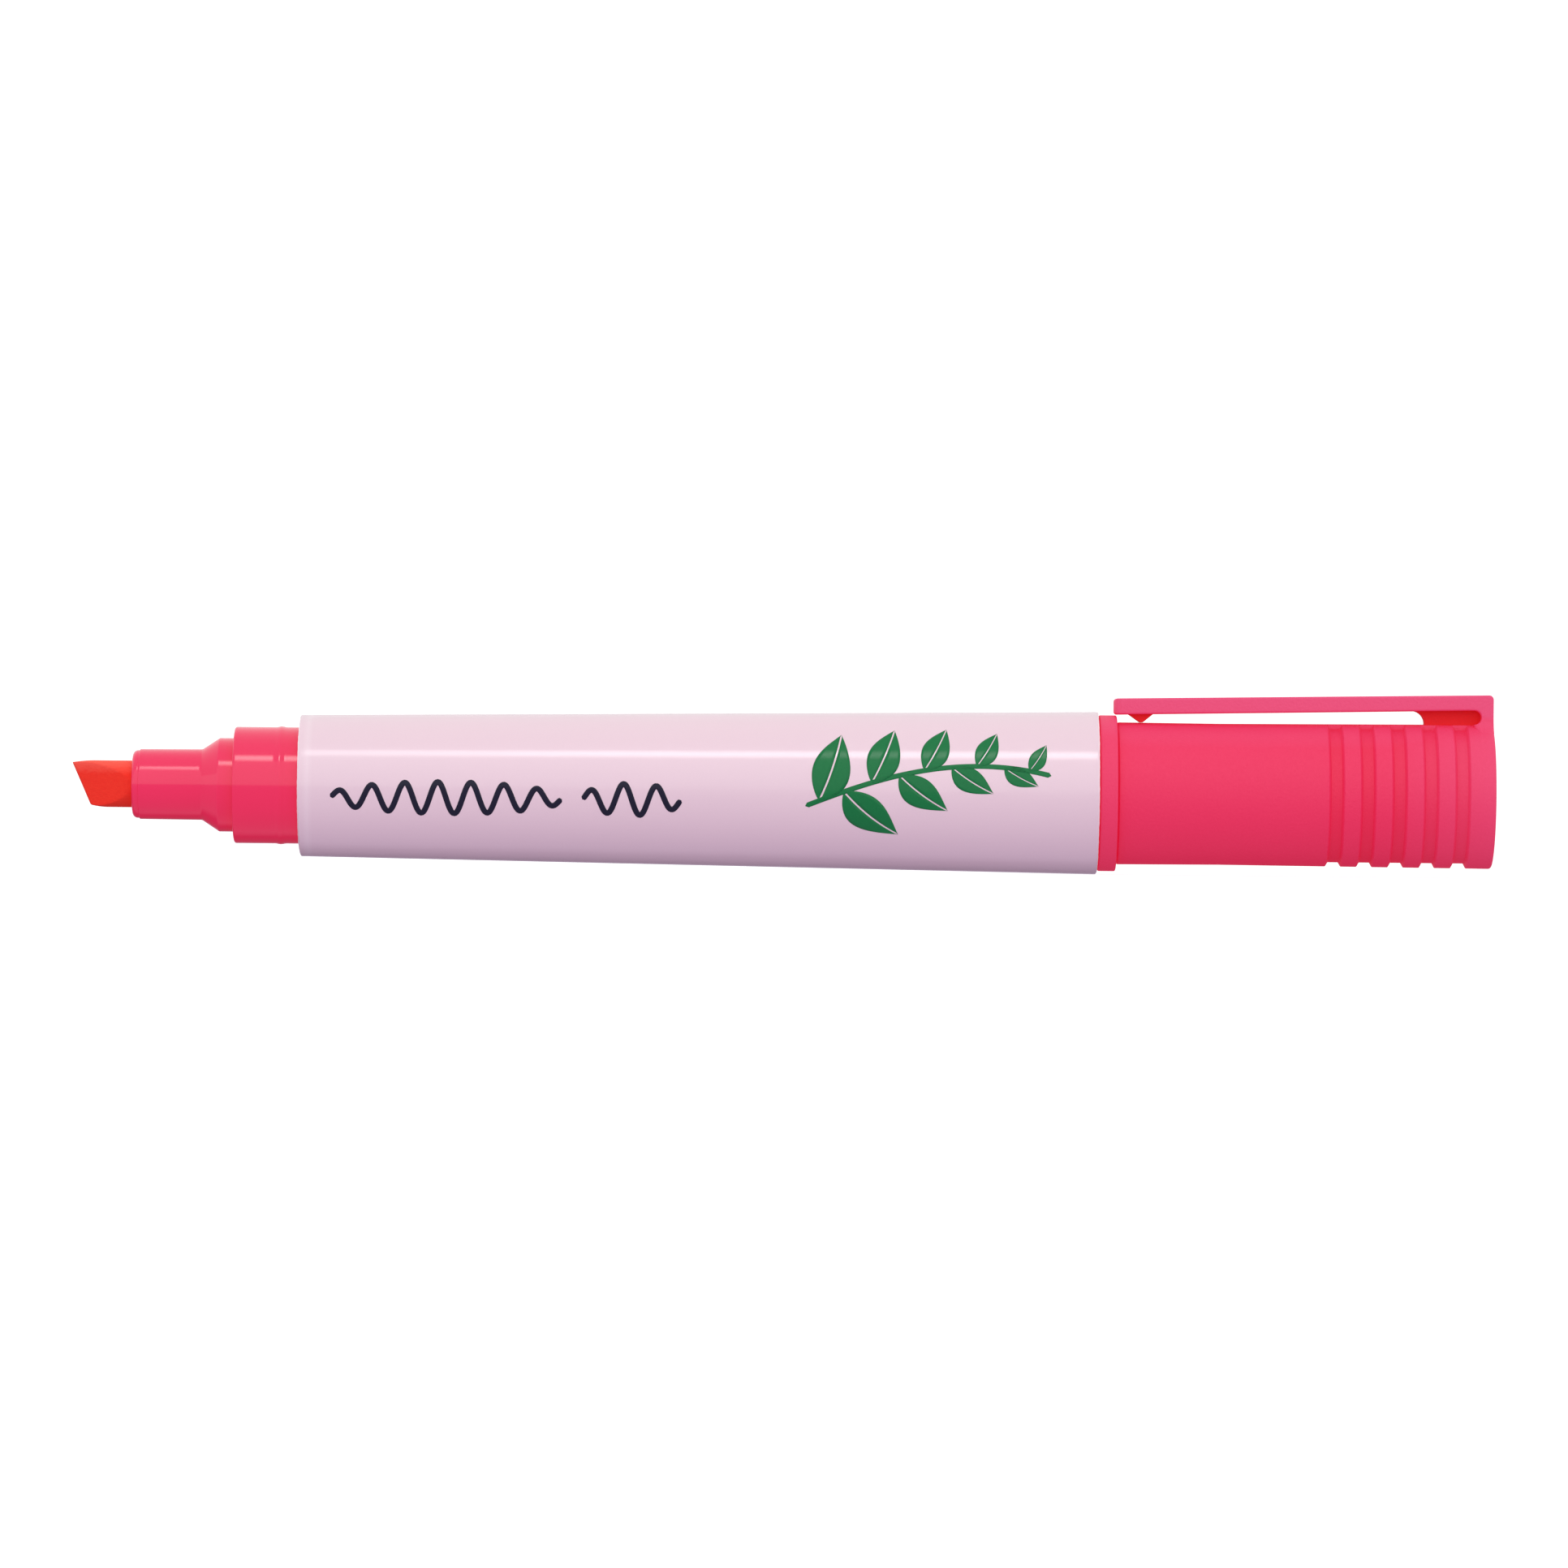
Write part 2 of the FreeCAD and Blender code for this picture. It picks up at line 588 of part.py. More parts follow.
def make_cap_clip():
    """The springy arm of the clip, from its tip to the line that it bends about, and its tooth."""
    body = new_body("cap_clip")
    split = S["clip_split"] - S["clip_split_gap"]
    bar(body, "Arm", [
        (S["clip_tip"], S["clip_tip_under"]),
        (split, clip_under(split)),
        (split, clip_top(split)),
        (S["clip_tip"], S["clip_tip_top"]),
    ], S["clip_width"])
    half_width = S["clip_width"] / 2
    tip_middle = (S["clip_tip_under"] + S["clip_tip_top"]) / 2
    rounded(body, "NoseRound", S["clip_nose_round"], straight_edges(
        body.Tip.Shape,
        (S["clip_tip"], half_width, tip_middle),
        (S["clip_tip"], half_width * -1, tip_middle),
    ))
    rounded(body, "TipRound", S["clip_tip_round"], straight_edges(
        body.Tip.Shape,
        (S["clip_tip"], 0, S["clip_tip_under"]),
        (S["clip_tip"], 0, S["clip_tip_top"]),
    ))
    half_apex = S["tooth_apex_width"] / 2
    bar(body, "Tooth", [
        (S["tooth_front"], clip_under(S["tooth_front"]) + S["rooting"]),
        (S["tooth_front"], clip_under(S["tooth_front"])),
        (S["tooth_apex"] - half_apex, S["tooth_apex_height"]),
        (S["tooth_apex"] + half_apex, S["tooth_apex_height"]),
        (S["tooth_rear"], clip_under(S["tooth_rear"])),
        (S["tooth_rear"], clip_under(S["tooth_rear"]) + S["rooting"]),
    ], S["tooth_width"])
    return body


def make_cap_liner():
    """The inner seal cup that closes round the nib holder when the pen is capped."""
    body = new_body("cap_liner")
    outside = S["liner_bore_radius"] + S["liner_wall"]
    seat = S["liner_seat_radius"] - S["press_gap"]
    rear = S["liner_seat"] - S["press_gap"]
    turned(body, "Cup", [
        (S["liner_mouth"], S["liner_bore_radius"] + S["liner_lead"]),
        (S["liner_mouth"], outside),
        (S["liner_floor"], outside),
        (S["liner_floor"], seat),
        (rear, seat),
        (rear, 0),
        (S["liner_floor"], 0),
        (S["liner_floor"], S["liner_bore_radius"]),
        (S["liner_mouth"] + S["liner_lead"], S["liner_bore_radius"]),
    ])
    return body


sub_parts = [
    make_nib(),
    make_nib_holder(),
    make_barrel(),
    make_label_sleeve(),
    make_ink_reservoir(),
    make_reservoir_wrap(),
    make_tail_plug(),
    make_cap_shell(),
    make_cap_clip(),
    make_cap_liner(),
]

doc.recompute()
for item in doc.Objects:
    if "Invalid" in item.State or "Error" in item.State:
        raise RuntimeError(f"{item.Name} is {item.State}")
for body in sub_parts:
    if body.Shape.isNull() or not body.Shape.isValid() or len(body.Shape.Solids) != 1:
        raise RuntimeError(f"{body.Label} isn't one valid solid")

os.makedirs("parts", exist_ok=True)
for body in sub_parts:
    body.Shape.exportStep(f"parts/{body.Label}.step")
    print(f"{body.Label}: {body.Shape.Volume:.1f} mm3")
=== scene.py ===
import math

import bmesh
import bpy
import numpy as np
from bpy.props import FloatProperty, FloatVectorProperty, IntProperty, PointerProperty
from mathutils import Matrix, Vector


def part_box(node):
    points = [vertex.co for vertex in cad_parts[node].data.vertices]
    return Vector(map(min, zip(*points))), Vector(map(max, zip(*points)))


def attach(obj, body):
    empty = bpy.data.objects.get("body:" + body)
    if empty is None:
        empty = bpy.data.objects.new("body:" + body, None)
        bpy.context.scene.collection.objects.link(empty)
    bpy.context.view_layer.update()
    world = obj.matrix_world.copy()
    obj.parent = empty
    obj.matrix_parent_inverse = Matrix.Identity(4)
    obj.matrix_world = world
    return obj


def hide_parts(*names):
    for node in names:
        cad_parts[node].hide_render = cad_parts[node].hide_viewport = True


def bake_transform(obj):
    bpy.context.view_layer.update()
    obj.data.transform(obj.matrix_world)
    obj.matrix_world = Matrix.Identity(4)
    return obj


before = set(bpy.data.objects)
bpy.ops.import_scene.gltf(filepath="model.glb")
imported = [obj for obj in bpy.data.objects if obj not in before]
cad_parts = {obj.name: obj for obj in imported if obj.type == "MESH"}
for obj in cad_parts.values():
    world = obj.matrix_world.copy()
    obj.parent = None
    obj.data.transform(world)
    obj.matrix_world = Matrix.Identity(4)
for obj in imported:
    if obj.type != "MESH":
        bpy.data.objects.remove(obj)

bl_info = {
    "name": "Highlighter with posted cap",
    "version": (1, 0, 0),
    "blender": (4, 5, 0),
    "location": "3D View > Sidebar > Highlighter",
    "description": "Finishes the chisel-nib highlighter around its fixed frame",
    "category": "Object",
}

MM = 0.001
MERGE = 0.0001 * MM       # points nearer than this are one point
SUPPORT = 0.06 * MM       # from a corner to the points that keep the shading beside it flat
TURN = 2 * math.pi
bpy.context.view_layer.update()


def low(node, axis):
    """Lowest coordinate of a frame node along an axis, 0 for x, 1 for y and 2 for z."""
    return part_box(node)[0][axis]


def high(node, axis):
    """Highest coordinate of a frame node along an axis."""
    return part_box(node)[1][axis]


def span(node):
    """Lowest and highest x of a frame node."""
    return low(node, 0), high(node, 0)


# The pen's axis lies along x at this height, because the label's rear rim is its widest place.
AXIS_Z = high("label_sleeve", 2) / 2


# ---------------------------------------------------------------- settings

def length(name, description, millimetres):
    """A length property; its default is given in millimetres and kept in metres."""
    return FloatProperty(name=name, description=description, default=millimetres * MM,
                         unit="LENGTH", precision=6)


def degrees(name, description, value):
    """An angle property; its default is given in degrees and kept in radians."""
    return FloatProperty(name=name, description=description, default=math.radians(value), subtype="ANGLE")


def share(name, description, value):
    """A plain factor between 0 and 1."""
    return FloatProperty(name=name, description=description, default=value, min=0, max=1, subtype="FACTOR")


def strength(name, description, value):
    """A light's strength."""
    return FloatProperty(name=name, description=description, default=value, min=0)


def colour(name, description, value):
    """A linear colour property."""
    return FloatVectorProperty(name=name, description=description, default=value, size=3, min=0, max=1,
                               subtype="COLOR")


class NibSettings(bpy.types.PropertyGroup):
    slant: degrees("Slant", "Lean of the chisel edge from square", 22)
    flat_run: length("Flat run", "How far back the chisel's flats reach", 6.1)
    land: length("Edge", "Half the thickness of the chisel edge", 0.3)
    heel: length("Heel", "Rounding of the chisel's short corner", 0.24)
    toe: length("Toe", "Rounding of the chisel's long corner", 0.12)
    crease: length("Crease", "Softness of the line between a flat and the round side", 0.1)
    top_drop: length("Top drop", "How much lower the upper corner is than the round rod", 0.22)
    top_run: length("Top run", "How far back the upper corner's fall starts", 2.6)
    low_rise: length("Low rise", "How much higher the lower corner is than the round rod", 0.20)
    low_run: length("Low run", "How far back the lower corner's rise starts", 2.4)
    shown_rear: length("Hidden length", "How far the nib reaches into its holder", 3.0)
    felt: colour("Felt", "Ink-soaked felt", (0.84, 0.018, 0.012))
    felt_light: colour("Light felt", "Fibre ends that catch the light", (0.93, 0.045, 0.022))
    # Painted highlight: the upper felt colour, above the height below, makes the nib's upper side paler
    # where light from above falls.
    felt_painted_highlight: colour("Upper felt", "Paler felt where the ink has drained", (0.95, 0.105, 0.075))
    painted_highlight_height: length("Drained height", "Height above the axis where the felt turns paler", 2.1)


class FrontSettings(bpy.types.PropertyGroup):
    lip: length("Lip", "Length of the holder's thinner front lip", 0.75)
    lip_radius: length("Lip radius", "Outside of the front lip", 3.70)
    lip_round: length("Lip rounding", "Rounding of the front lip", 0.55)
    grip_radius: length("Grip radius", "Outside of the straight part at the front", 3.82)
    grip_rear_radius: length("Grip rear radius", "Outside of the straight part at the cone", 3.86)
    cone_start: length("Cone start", "Distance from the front face to the cone", 7.56)
    cone_end: length("Cone end", "Distance from the front face to the seat", 9.45)
    bore_lead: length("Bore chamfer", "Chamfer where the nib comes out", 0.25)
    neck_radius: length("Neck radius", "Outside of the neck that the cap slides over", 6.35)
    neck_round: length("Neck rounding", "Rounding of the neck's front rim", 0.25)
    neck_length: length("Neck length", "From the neck's rim to the shoulder", 7.17)
    snap_offset: length("Snap offset", "From a shoulder to the middle of its snap ring", 2.08)
    snap_height: length("Snap height", "How far a snap ring stands out", 0.09)
    snap_spread: length("Snap spread", "Half the width of a snap ring", 0.62)
    fit_gap: length("Fit gap", "Gap drawn between parts that are pressed together", 0.01)
    seat_depth: length("Seat depth", "How far back the neck's bore reaches in the rim", 2.0)
    core_start: length("Core start", "From the shoulder to where the barrel's inside widens", 1.2)
    fore_wall: length("Front wall", "Film and wall of the barrel at the shoulder", 1.4)
    rear_wall: length("Rear wall", "Film and wall of the barrel at the rear", 1.3)
    pink: colour("Glossy pink", "Polished moulding", (0.49, 0.017, 0.092))


class LabelSettings(bpy.types.PropertyGroup):
    front_radius: length("Front radius", "Outside of the label at the shoulder", 7.71)
    film: length("Film", "Thickness of the shrunk film", 0.06)
    hidden_gap: length("Gap", "Between the film and the barrel under it", 0.01)
    wrap_reach: length("Wrap reach", "How far from each cut edge the film starts to come in", 0.3)
    wrap_top: length("Upper wrap", "How far the film comes in on top of the pen", 0.12)
    wrap_low_front: length("Lower front wrap", "How far it comes in under the front", 1.0)
    wrap_low_rear: length("Lower rear wrap", "How far it comes in under the rear", 0.4)
    ragged: length("Ragged edge", "How much the cut edges wander", 0.09)
    ripple: length("Ripple", "Height of the film's shrink ripples", 0.012)
    seam_height: length("Seam height", "Height of the glued overlap at the back", 0.05)
    seam_half: degrees("Seam", "Half the width of the overlap, seen from the pen's axis", 11)
    seam_slope: degrees("Seam slope", "Width of the overlap's sloping sides, seen from the axis", 2.2918)
    bare_edge: length("Bare edge", "How wide the unprinted cut edges are", 0.13)
    # Painted highlight: the place of a lighter band of the film just behind its front edge.
    highlight_band_place: length("Stretched band", "From the front edge to the lighter band", 1.1)
    pale: colour("Film", "Pale printed film", (0.79, 0.595, 0.665))
    cut_edge: colour("Cut edge", "Bare film at the cut edges", (0.88, 0.76, 0.80))


class PrintSettings(bpy.types.PropertyGroup):
    lift: length("Ink thickness", "Height of the ink above the film", 0.012)
    scribble_start: length("Scribble start", "From the shoulder to the pen stroke", 3.6)
    scribble_end: length("Scribble end", "From the shoulder to the end of the pen stroke", 41.6)
    scribble_height: length("Scribble height", "Half the height of the stroke's waves", 1.75)
    scribble_drop: length("Scribble drop", "How far the stroke lies below the middle of the side", 1.2)
    scribble_line: length("Scribble line", "Half the thickness of the stroke", 0.31)
    scribble_split: share("Scribble split", "Share of the way to the gap in the stroke", 0.66)
    scribble_gap: length("Scribble gap", "Gap between the stroke's two lengths", 2.2)
    long_waves: IntProperty(name="Long waves", description="Waves before the gap", default=7, min=1)
    short_waves: IntProperty(name="Short waves", description="Waves behind the gap", default=3, min=1)
    sprig_start: length("Sprig start", "From the shoulder to the foot of the leaf motif", 55.0)
    sprig_end: length("Sprig end", "From the shoulder to the tip of the leaf motif", 81.6)
    sprig_drop: length("Sprig drop", "How far its stem starts below the middle of the side", 1.7)
    sprig_rise: length("Sprig rise", "How high the stem's quarter wave climbs", 6.2)
    sprig_sag: length("Sprig sag", "How far the stem's tip droops", 2.6)
    stem_line: length("Stem", "Half the thickness of the stem", 0.28)
    leaf_count: IntProperty(name="Leaves", description="Leaves along the stem", default=9, min=1)
    leaf_length: length("Leaf length", "Length of the largest leaf", 8.4)
    leaf_shrink: share("Leaf shrink", "How much smaller leaves are at the stem's tip", 0.62)
    leaf_lean: degrees("Leaf lean", "How far the first leaves turn away from the stem", 58)
    navy: colour("Navy ink", "Dark printed line", (0.004, 0.004, 0.020))
    green: colour("Green ink", "Leaf motif", (0.0, 0.150, 0.038))


class TailSettings(bpy.types.PropertyGroup):
    gap: length("Gap", "Between the label and the flange", 0.03)
    flange: length("Flange", "Thickness of the flange", 1.95)
    flange_radius: length("Flange radius", "Outside of the flange", 8.495)
    flange_round: length("Flange rounding", "Rounding of the flange's rims", 0.18)
    wall: length("Wall", "Wall of the stub that holds the cap", 1.0)
    floor_depth: length("Hollow", "Depth of the stub's hollow", 5.6)
    hidden: length("Hidden start", "From the plug's front to where its shown shape starts", 3.0)
    sleeve_wall: length("Sleeve wall", "From the label's outside to the plug inside the barrel", 1.6)


class CapSettings(bpy.types.PropertyGroup):
    mouth_radius: length("Mouth radius", "Outside of the cap at the mouth", 7.745)
    waist: length("Waist", "From the mouth to the thinnest place", 11.06)
    waist_radius: length("Waist radius", "Outside of the cap at its waist", 7.69)
    end_radius: length("End radius", "Outside of the cap at the closed end", 7.86)
    mouth_round: length("Mouth rounding", "Rounding of the mouth's outer edge", 0.2)
    end_round: length("End rounding", "Rounding of the closed end", 0.3)
    bore: length("Bore", "Inside radius at the mouth", 6.49)
    liner_depth: length("Liner depth", "From the mouth to the step in front of the seal cup", 13.06)
    liner_bore: length("Liner bore", "Inside radius around the seal cup", 6.2)
    liner_seat: length("Liner seat", "From the mouth to the step behind the seal cup", 32.06)
    back_depth: length("Back depth", "From the mouth to the inner end face", 38.96)
    back_radius: length("Back radius", "Inside radius behind the seal cup", 5.4)
    groove_count: IntProperty(name="Grooves", description="Number of grip grooves", default=5, min=1)
    groove_first: length("First groove", "From the mouth to the first groove's middle", 23.63)
    groove_pitch: length("Groove pitch", "From groove to groove", 3.41)
    groove_floor: length("Groove floor", "Half the width of a groove's floor", 0.575)
    groove_flare: length("Groove flare", "How much wider each side is at the top", 0.28)
    groove_radius: length("Groove radius", "Radius of a groove's floor", 7.30)
    end_band: length("End band", "Length at the closed end that no groove reaches", 1.5)
    spine: length("Spine", "Half the width of the spine that stops the grooves", 1.2)
    pink: colour("Matte pink", "Spark-eroded moulding", (0.49, 0.030, 0.104))
    # Painted shade: a deeper pink for the groove floors, where shade falls in the recesses.
    painted_groove_shade: colour("Groove pink", "Deeper pink on the groove floors", (0.46, 0.018, 0.072))
    groove_lip: length("Groove lip", "Distance from the axis where the deeper pink ends", 7.52)
    # Painted glow: a constant red emission on the pink plastics, which keeps their shaded sides red as light
    # would.
    glow: colour("Fluorescence", "Red light that the pigment gives back", (0.345, 0.0, 0.008))
    # Painted light: this paler pink lightens the clip, the cap's top under it and the closed end, as light
    # falling there would; the clip base, top height and end fade below place it.
    painted_light_pink: colour("Clip pink", "Paler pink where light comes through", (0.47, 0.075, 0.185))
    clip_base: length("Clip base", "Distance from the axis where the clip's pink starts", 8.75)
    painted_light_height: length("Top", "Height above the axis where the cap's top turns paler", 6.2)
    painted_light_reach: length("End fade", "How far from the closed end the plastic starts to turn paler", 12)
    cup_bore: length("Cup bore", "Inside radius of the seal cup", 3.90)
    cup_wall: length("Cup wall", "Wall of the seal cup", 0.85)
    cup_floor: length("Cup floor", "Thickness of the seal cup's floor", 2.4)
    cup_lead: length("Cup chamfer", "Chamfer at the seal cup's mouth", 0.35)
    liner_white: colour("Seal cup", "Natural soft plastic", (0.80, 0.78, 0.73))


class ClipSettings(bpy.types.PropertyGroup):
    tip_under: length("Tip underside", "Height above the axis", 8.58)
    tip_top: length("Tip top", "Height above the axis", 10.33)
    root_under: length("Slot top", "Height above the axis at the root", 9.38)
    root_top: length("Root top", "Height above the axis", 11.06)
    edge: length("Edge", "Rounding of the long edges", 0.2)
    tip_round: length("Tip rounding", "Rounding of the tip, seen from the side", 0.35)
    nose_round: length("Nose rounding", "Rounding of the tip, seen from above", 1.0)
    corner: length("Root corner", "Rounding above the closed end", 0.5)
    slot_end: length("Slot end", "From the closed end to the middle of the slot's round end", 2.1)
    slot_round: length("Slot rounding", "Radius of the slot's round end", 0.775)
    bend_lead: length("Turn lead", "From the arm's straight part to the middle of the slot's end", 0.4)
    slot_height: length("Slot height", "Height of the slot's middle above the axis", 8.605)
    foot: length("Foot", "Height above the axis where the web ends inside the cap", 7.1)
    root_foot: length("Root foot", "Height above the axis where the root ends inside the cap", 6.6)
    root_fillet: length("Root fillet", "Hollow rounding between the root and the cap", 2.0)
    fillet_lead: length("Fillet lead", "How far behind the slot's middle that rounding is full", 0.5)
    web_front: length("Web front", "From the closed end to the web's front edge", 7.43)
    web_round: length("Web rounding", "Radius of the web's hollow front edge", 1.36)
    web: length("Web", "Half the width of the web", 1.15)
    web_rear: length("Web rear", "How far the web reaches behind the slot's middle", 1.2)
    web_top: length("Web top", "How far the web reaches into the arm", 0.2)
    tooth_front: length("Tooth front", "From the tip to the tooth", 1.6)
    tooth_apex: length("Tooth point", "From the tip to the tooth's point", 2.97)
    tooth_flat: length("Tooth flat", "Half the length of the flat on the tooth's point", 0.15)
    tooth_top: length("Tooth top", "How far the tooth reaches into the arm", 0.25)
    tooth_rear: length("Tooth rear", "From the tip to the tooth's rear", 4.23)
    tooth_half: length("Tooth", "Half the width of the tooth", 1.7)
    tooth_height: length("Tooth height", "Height of the tooth's point above the axis", 7.76)
    bend_start: length("Bend start", "From the closed end to where the arm starts to bend", 9.0)
    bend_end: length("Bend end", "From the closed end to where it stops bending", 22.0)
    # Painted shade: a deeper red for the web and tooth, which sit in shade under the clip.
    recess_shade_red: colour("Inner red", "Thin inner walls that light shines through", (0.74, 0.012, 0.018))


class RefillSettings(bpy.types.PropertyGroup):
    wet: colour("Wet fibre", "Ink-soaked fibre core", (0.86, 0.03, 0.10))
    dry: colour("Pale fibre", "Fibre between the wet strands", (0.93, 0.16, 0.28))
    film: colour("Wrap", "Film around the fibre core", (0.90, 0.70, 0.78))


class StudioSettings(bpy.types.PropertyGroup):
    distance: length("Camera distance", "From the camera to the pen's axis", 1000)
    width: length("Framed width", "Width of the picture at the pen's axis", 170.97)
    shift_x: length("Camera right", "Camera to the right of the pen's middle", 0.24)
    shift_z: length("Camera up", "Camera above the pen's axis", 0.67)
    roll: degrees("Roll", "Turn of the camera about its line of sight", 0.55)
    floor_side: length("Floor", "Side of the floor", 60000)
    floor_gap: length("Floor gap", "How far the floor lies under the pen", 0.02)
    floor_glow: strength("Floor glow", "Light that the floor paper gives back everywhere", 0.9)
    upper: colour("Upper light", "Even light from above", (1.0, 1.0, 1.0))
    upper_strength: strength("Upper strength", "Strength of the light from above", 0.90)
    lower: colour("Lower light", "Light thrown back from below", (0.62, 0.53, 0.67))
    shade_dim: share("Rear shade", "How much dimmer the light from below and behind is", 0.8)
    shade_middle: degrees("Shade middle", "Direction of the shade, turning down from the front", -140)
    shade_half: degrees("Shade half", "Half the width of the shade", 25)
    front_strength: strength("Front strength", "Strength of the low front wall", 1.4)
    front_top: degrees("Front top", "How high the front wall reaches", 50)
    strip_strength: strength("Strip strength", "Strength of the strip light", 8.5)
    strip_reach: share("Strip length", "Sine of the angle at which the strip ends", 0.085)
    strip_height: degrees("Strip height", "How high the strip light hangs", 55)
    strip_half: degrees("Strip", "Half the width of the strip light", 5.0)
    white_strength: strength("White strength", "Strength of the white that the camera sees", 1.2)


class HighlighterSettings(bpy.types.PropertyGroup):
    nib: PointerProperty(type=NibSettings, name="Nib", description="Chisel nib")
    front: PointerProperty(type=FrontSettings, name="Front", description="Nib holder and neck")
    label: PointerProperty(type=LabelSettings, name="Label", description="Shrunk label film")
    ink: PointerProperty(type=PrintSettings, name="Print", description="Generic printed marks")
    tail: PointerProperty(type=TailSettings, name="Tail", description="Tail plug")
    cap: PointerProperty(type=CapSettings, name="Cap", description="Cap shell and seal cup")
    clip: PointerProperty(type=ClipSettings, name="Clip", description="Clip, web and tooth")
    refill: PointerProperty(type=RefillSettings, name="Refill", description="Ink reservoir")
    studio: PointerProperty(type=StudioSettings, name="Studio", description="Camera, floor and lights")


def settings():
    """The sizes and colours that the operators work from."""
    return bpy.context.scene.highlighter


# ---------------------------------------------------------------- surfaces

def quarter_circle(way):
    """Height of a unit quarter circle that starts upright at 0 and is level from 1 on."""
    return np.sqrt(np.clip(1 - (1 - np.clip(way, 0, 1)) ** 2, 0, 1))


def smooth_step(way):
    """0 up to 0 and 1 from 1 on, with a cubic between that starts and ends level."""
    way = np.clip(way, 0, 1)
    return way * way * (3 - 2 * way)


def closed_ends(points):
    """The grid with a row more at each end, whose points all lie at the middle of that end."""
    first = points[:1].mean(axis=1, keepdims=True) + 0 * points[:1]
    last = points[-1:].mean(axis=1, keepdims=True) + 0 * points[-1:]
    return np.concatenate([first, points, last])


def new_piece(name, mesh):
    """A smooth object of a mesh, in the scene."""
    mesh.shade_smooth()
    piece = bpy.data.objects.new(name, mesh)
    bpy.context.scene.collection.objects.link(piece)
    return piece


def grid_piece(name, points, wrap_u=False, wrap_v=True):
    """A mesh from a grid of points [u, v]. Each square of the grid is a face, u and v can each close
    on themselves, and points that fall together, as at a pole, are merged."""
    rows, columns = points.shape[:2]
    number = np.arange(rows * columns).reshape(rows, columns)
    if wrap_u:
        number = np.vstack([number, number[:1]])
    if wrap_v:
        number = np.hstack([number, number[:, :1]])
    faces = np.stack([number[:-1, :-1], number[1:, :-1], number[1:, 1:], number[:-1, 1:]], axis=-1)
    mesh = bpy.data.meshes.new(name)
    mesh.from_pydata(points.reshape(-1, 3), [], faces.reshape(-1, 4))
    shell = bmesh.new()
    shell.from_mesh(mesh)
    bmesh.ops.remove_doubles(shell, verts=shell.verts, dist=MERGE)
    bmesh.ops.recalc_face_normals(shell, faces=shell.faces)
    shell.to_mesh(mesh)
    shell.free()
    return new_piece(name, mesh)


def joined(name, pieces):
    """One piece made of several separate closed shells."""
    shells = bmesh.new()
    for piece in pieces:
        shells.from_mesh(piece.data)
        bpy.data.objects.remove(piece)
    mesh = bpy.data.meshes.new(name)
    shells.to_mesh(mesh)
    shells.free()
    return new_piece(name, mesh)


def turn_corner(before, corner, after, rounding, steps):
    """Points of the arc that touches both sides of a corner: its centre lies on the corner's
    bisector, and it turns evenly from one side's normal to the other's."""
    before, corner, after = (np.asarray(p, float) for p in (before, corner, after))
    come = (corner - before) / np.linalg.norm(corner - before)
    leave = (after - corner) / np.linalg.norm(after - corner)
    turn = math.atan2(come[0] * leave[1] - come[1] * leave[0], come @ leave)
    reach = rounding * math.tan(abs(turn) / 2)
    side = math.copysign(1, turn)
    centre = corner - come * reach + side * rounding * np.array([-come[1], come[0]])
    angle = math.atan2(come[1], come[0]) - side * math.pi / 2 + turn * np.linspace(0, 1, steps)
    return centre + rounding * np.stack([np.cos(angle), np.sin(angle)], axis=1)


def outline(corners, closed=False, spacing=1.2 * MM, steps=7):
    """An outline through corners (x, radius, rounding). Rounded corners become arcs, and straight
    runs get a point close to each end, which keeps smooth shading flat, and others between."""
    bare = [corner[:2] for corner in corners]
    arcs = []
    for index, (x, radius, rounding) in enumerate(corners):
        inner = closed or 0 < index < len(corners) - 1
        if rounding > 0 and inner:
            after = bare[(index + 1) % len(bare)]
            arcs.append(turn_corner(bare[index - 1], bare[index], after, rounding, steps))
        else:
            arcs.append(np.array([[x, radius]]))
    path = []
    for index, arc in enumerate(arcs):
        path.append(arc)
        if index == len(arcs) - 1 and not closed:
            break
        start, end = arc[-1], arcs[(index + 1) % len(arcs)][0]
        run = np.linalg.norm(end - start)
        support = min(SUPPORT, run / 4)
        count = max(2, int(run / spacing) + 1)
        along = np.linspace(support / run, 1 - support / run, count)[:, None]
        path.append(start + (end - start) * along)
    return np.vstack(path)


def round_angles(columns):
    """Evenly spaced angles round the pen, as one row."""
    return (np.arange(columns) / columns * TURN)[None, :]


def around_axis(x, radius, angles):
    """Points at a place along the axis, a distance from it and an angle round it."""
    return on_axis(x + 0 * angles, radius * np.cos(angles), radius * np.sin(angles))


def turned_points(path, columns=160):
    """Grid of a surface of revolution: outline points (x, radius) turned about the pen's axis."""
    return around_axis(path[:, :1], path[:, 1:], round_angles(columns))


def on_axis(x, y, z):
    """Stacks coordinates into points, with z measured from the pen's axis."""
    return np.stack([x, y, z + AXIS_Z], axis=-1)


def waves(angle, counts, shifts):
    """Sum of sines around the pen, scaled to stay within 1: the ragged line of a cut edge."""
    counts, shifts = np.asarray(counts, float), np.asarray(shifts, float)
    return np.sin(angle[..., None] * counts + shifts).sum(-1) / len(counts)


# ---------------------------------------------------------------- shader nodes

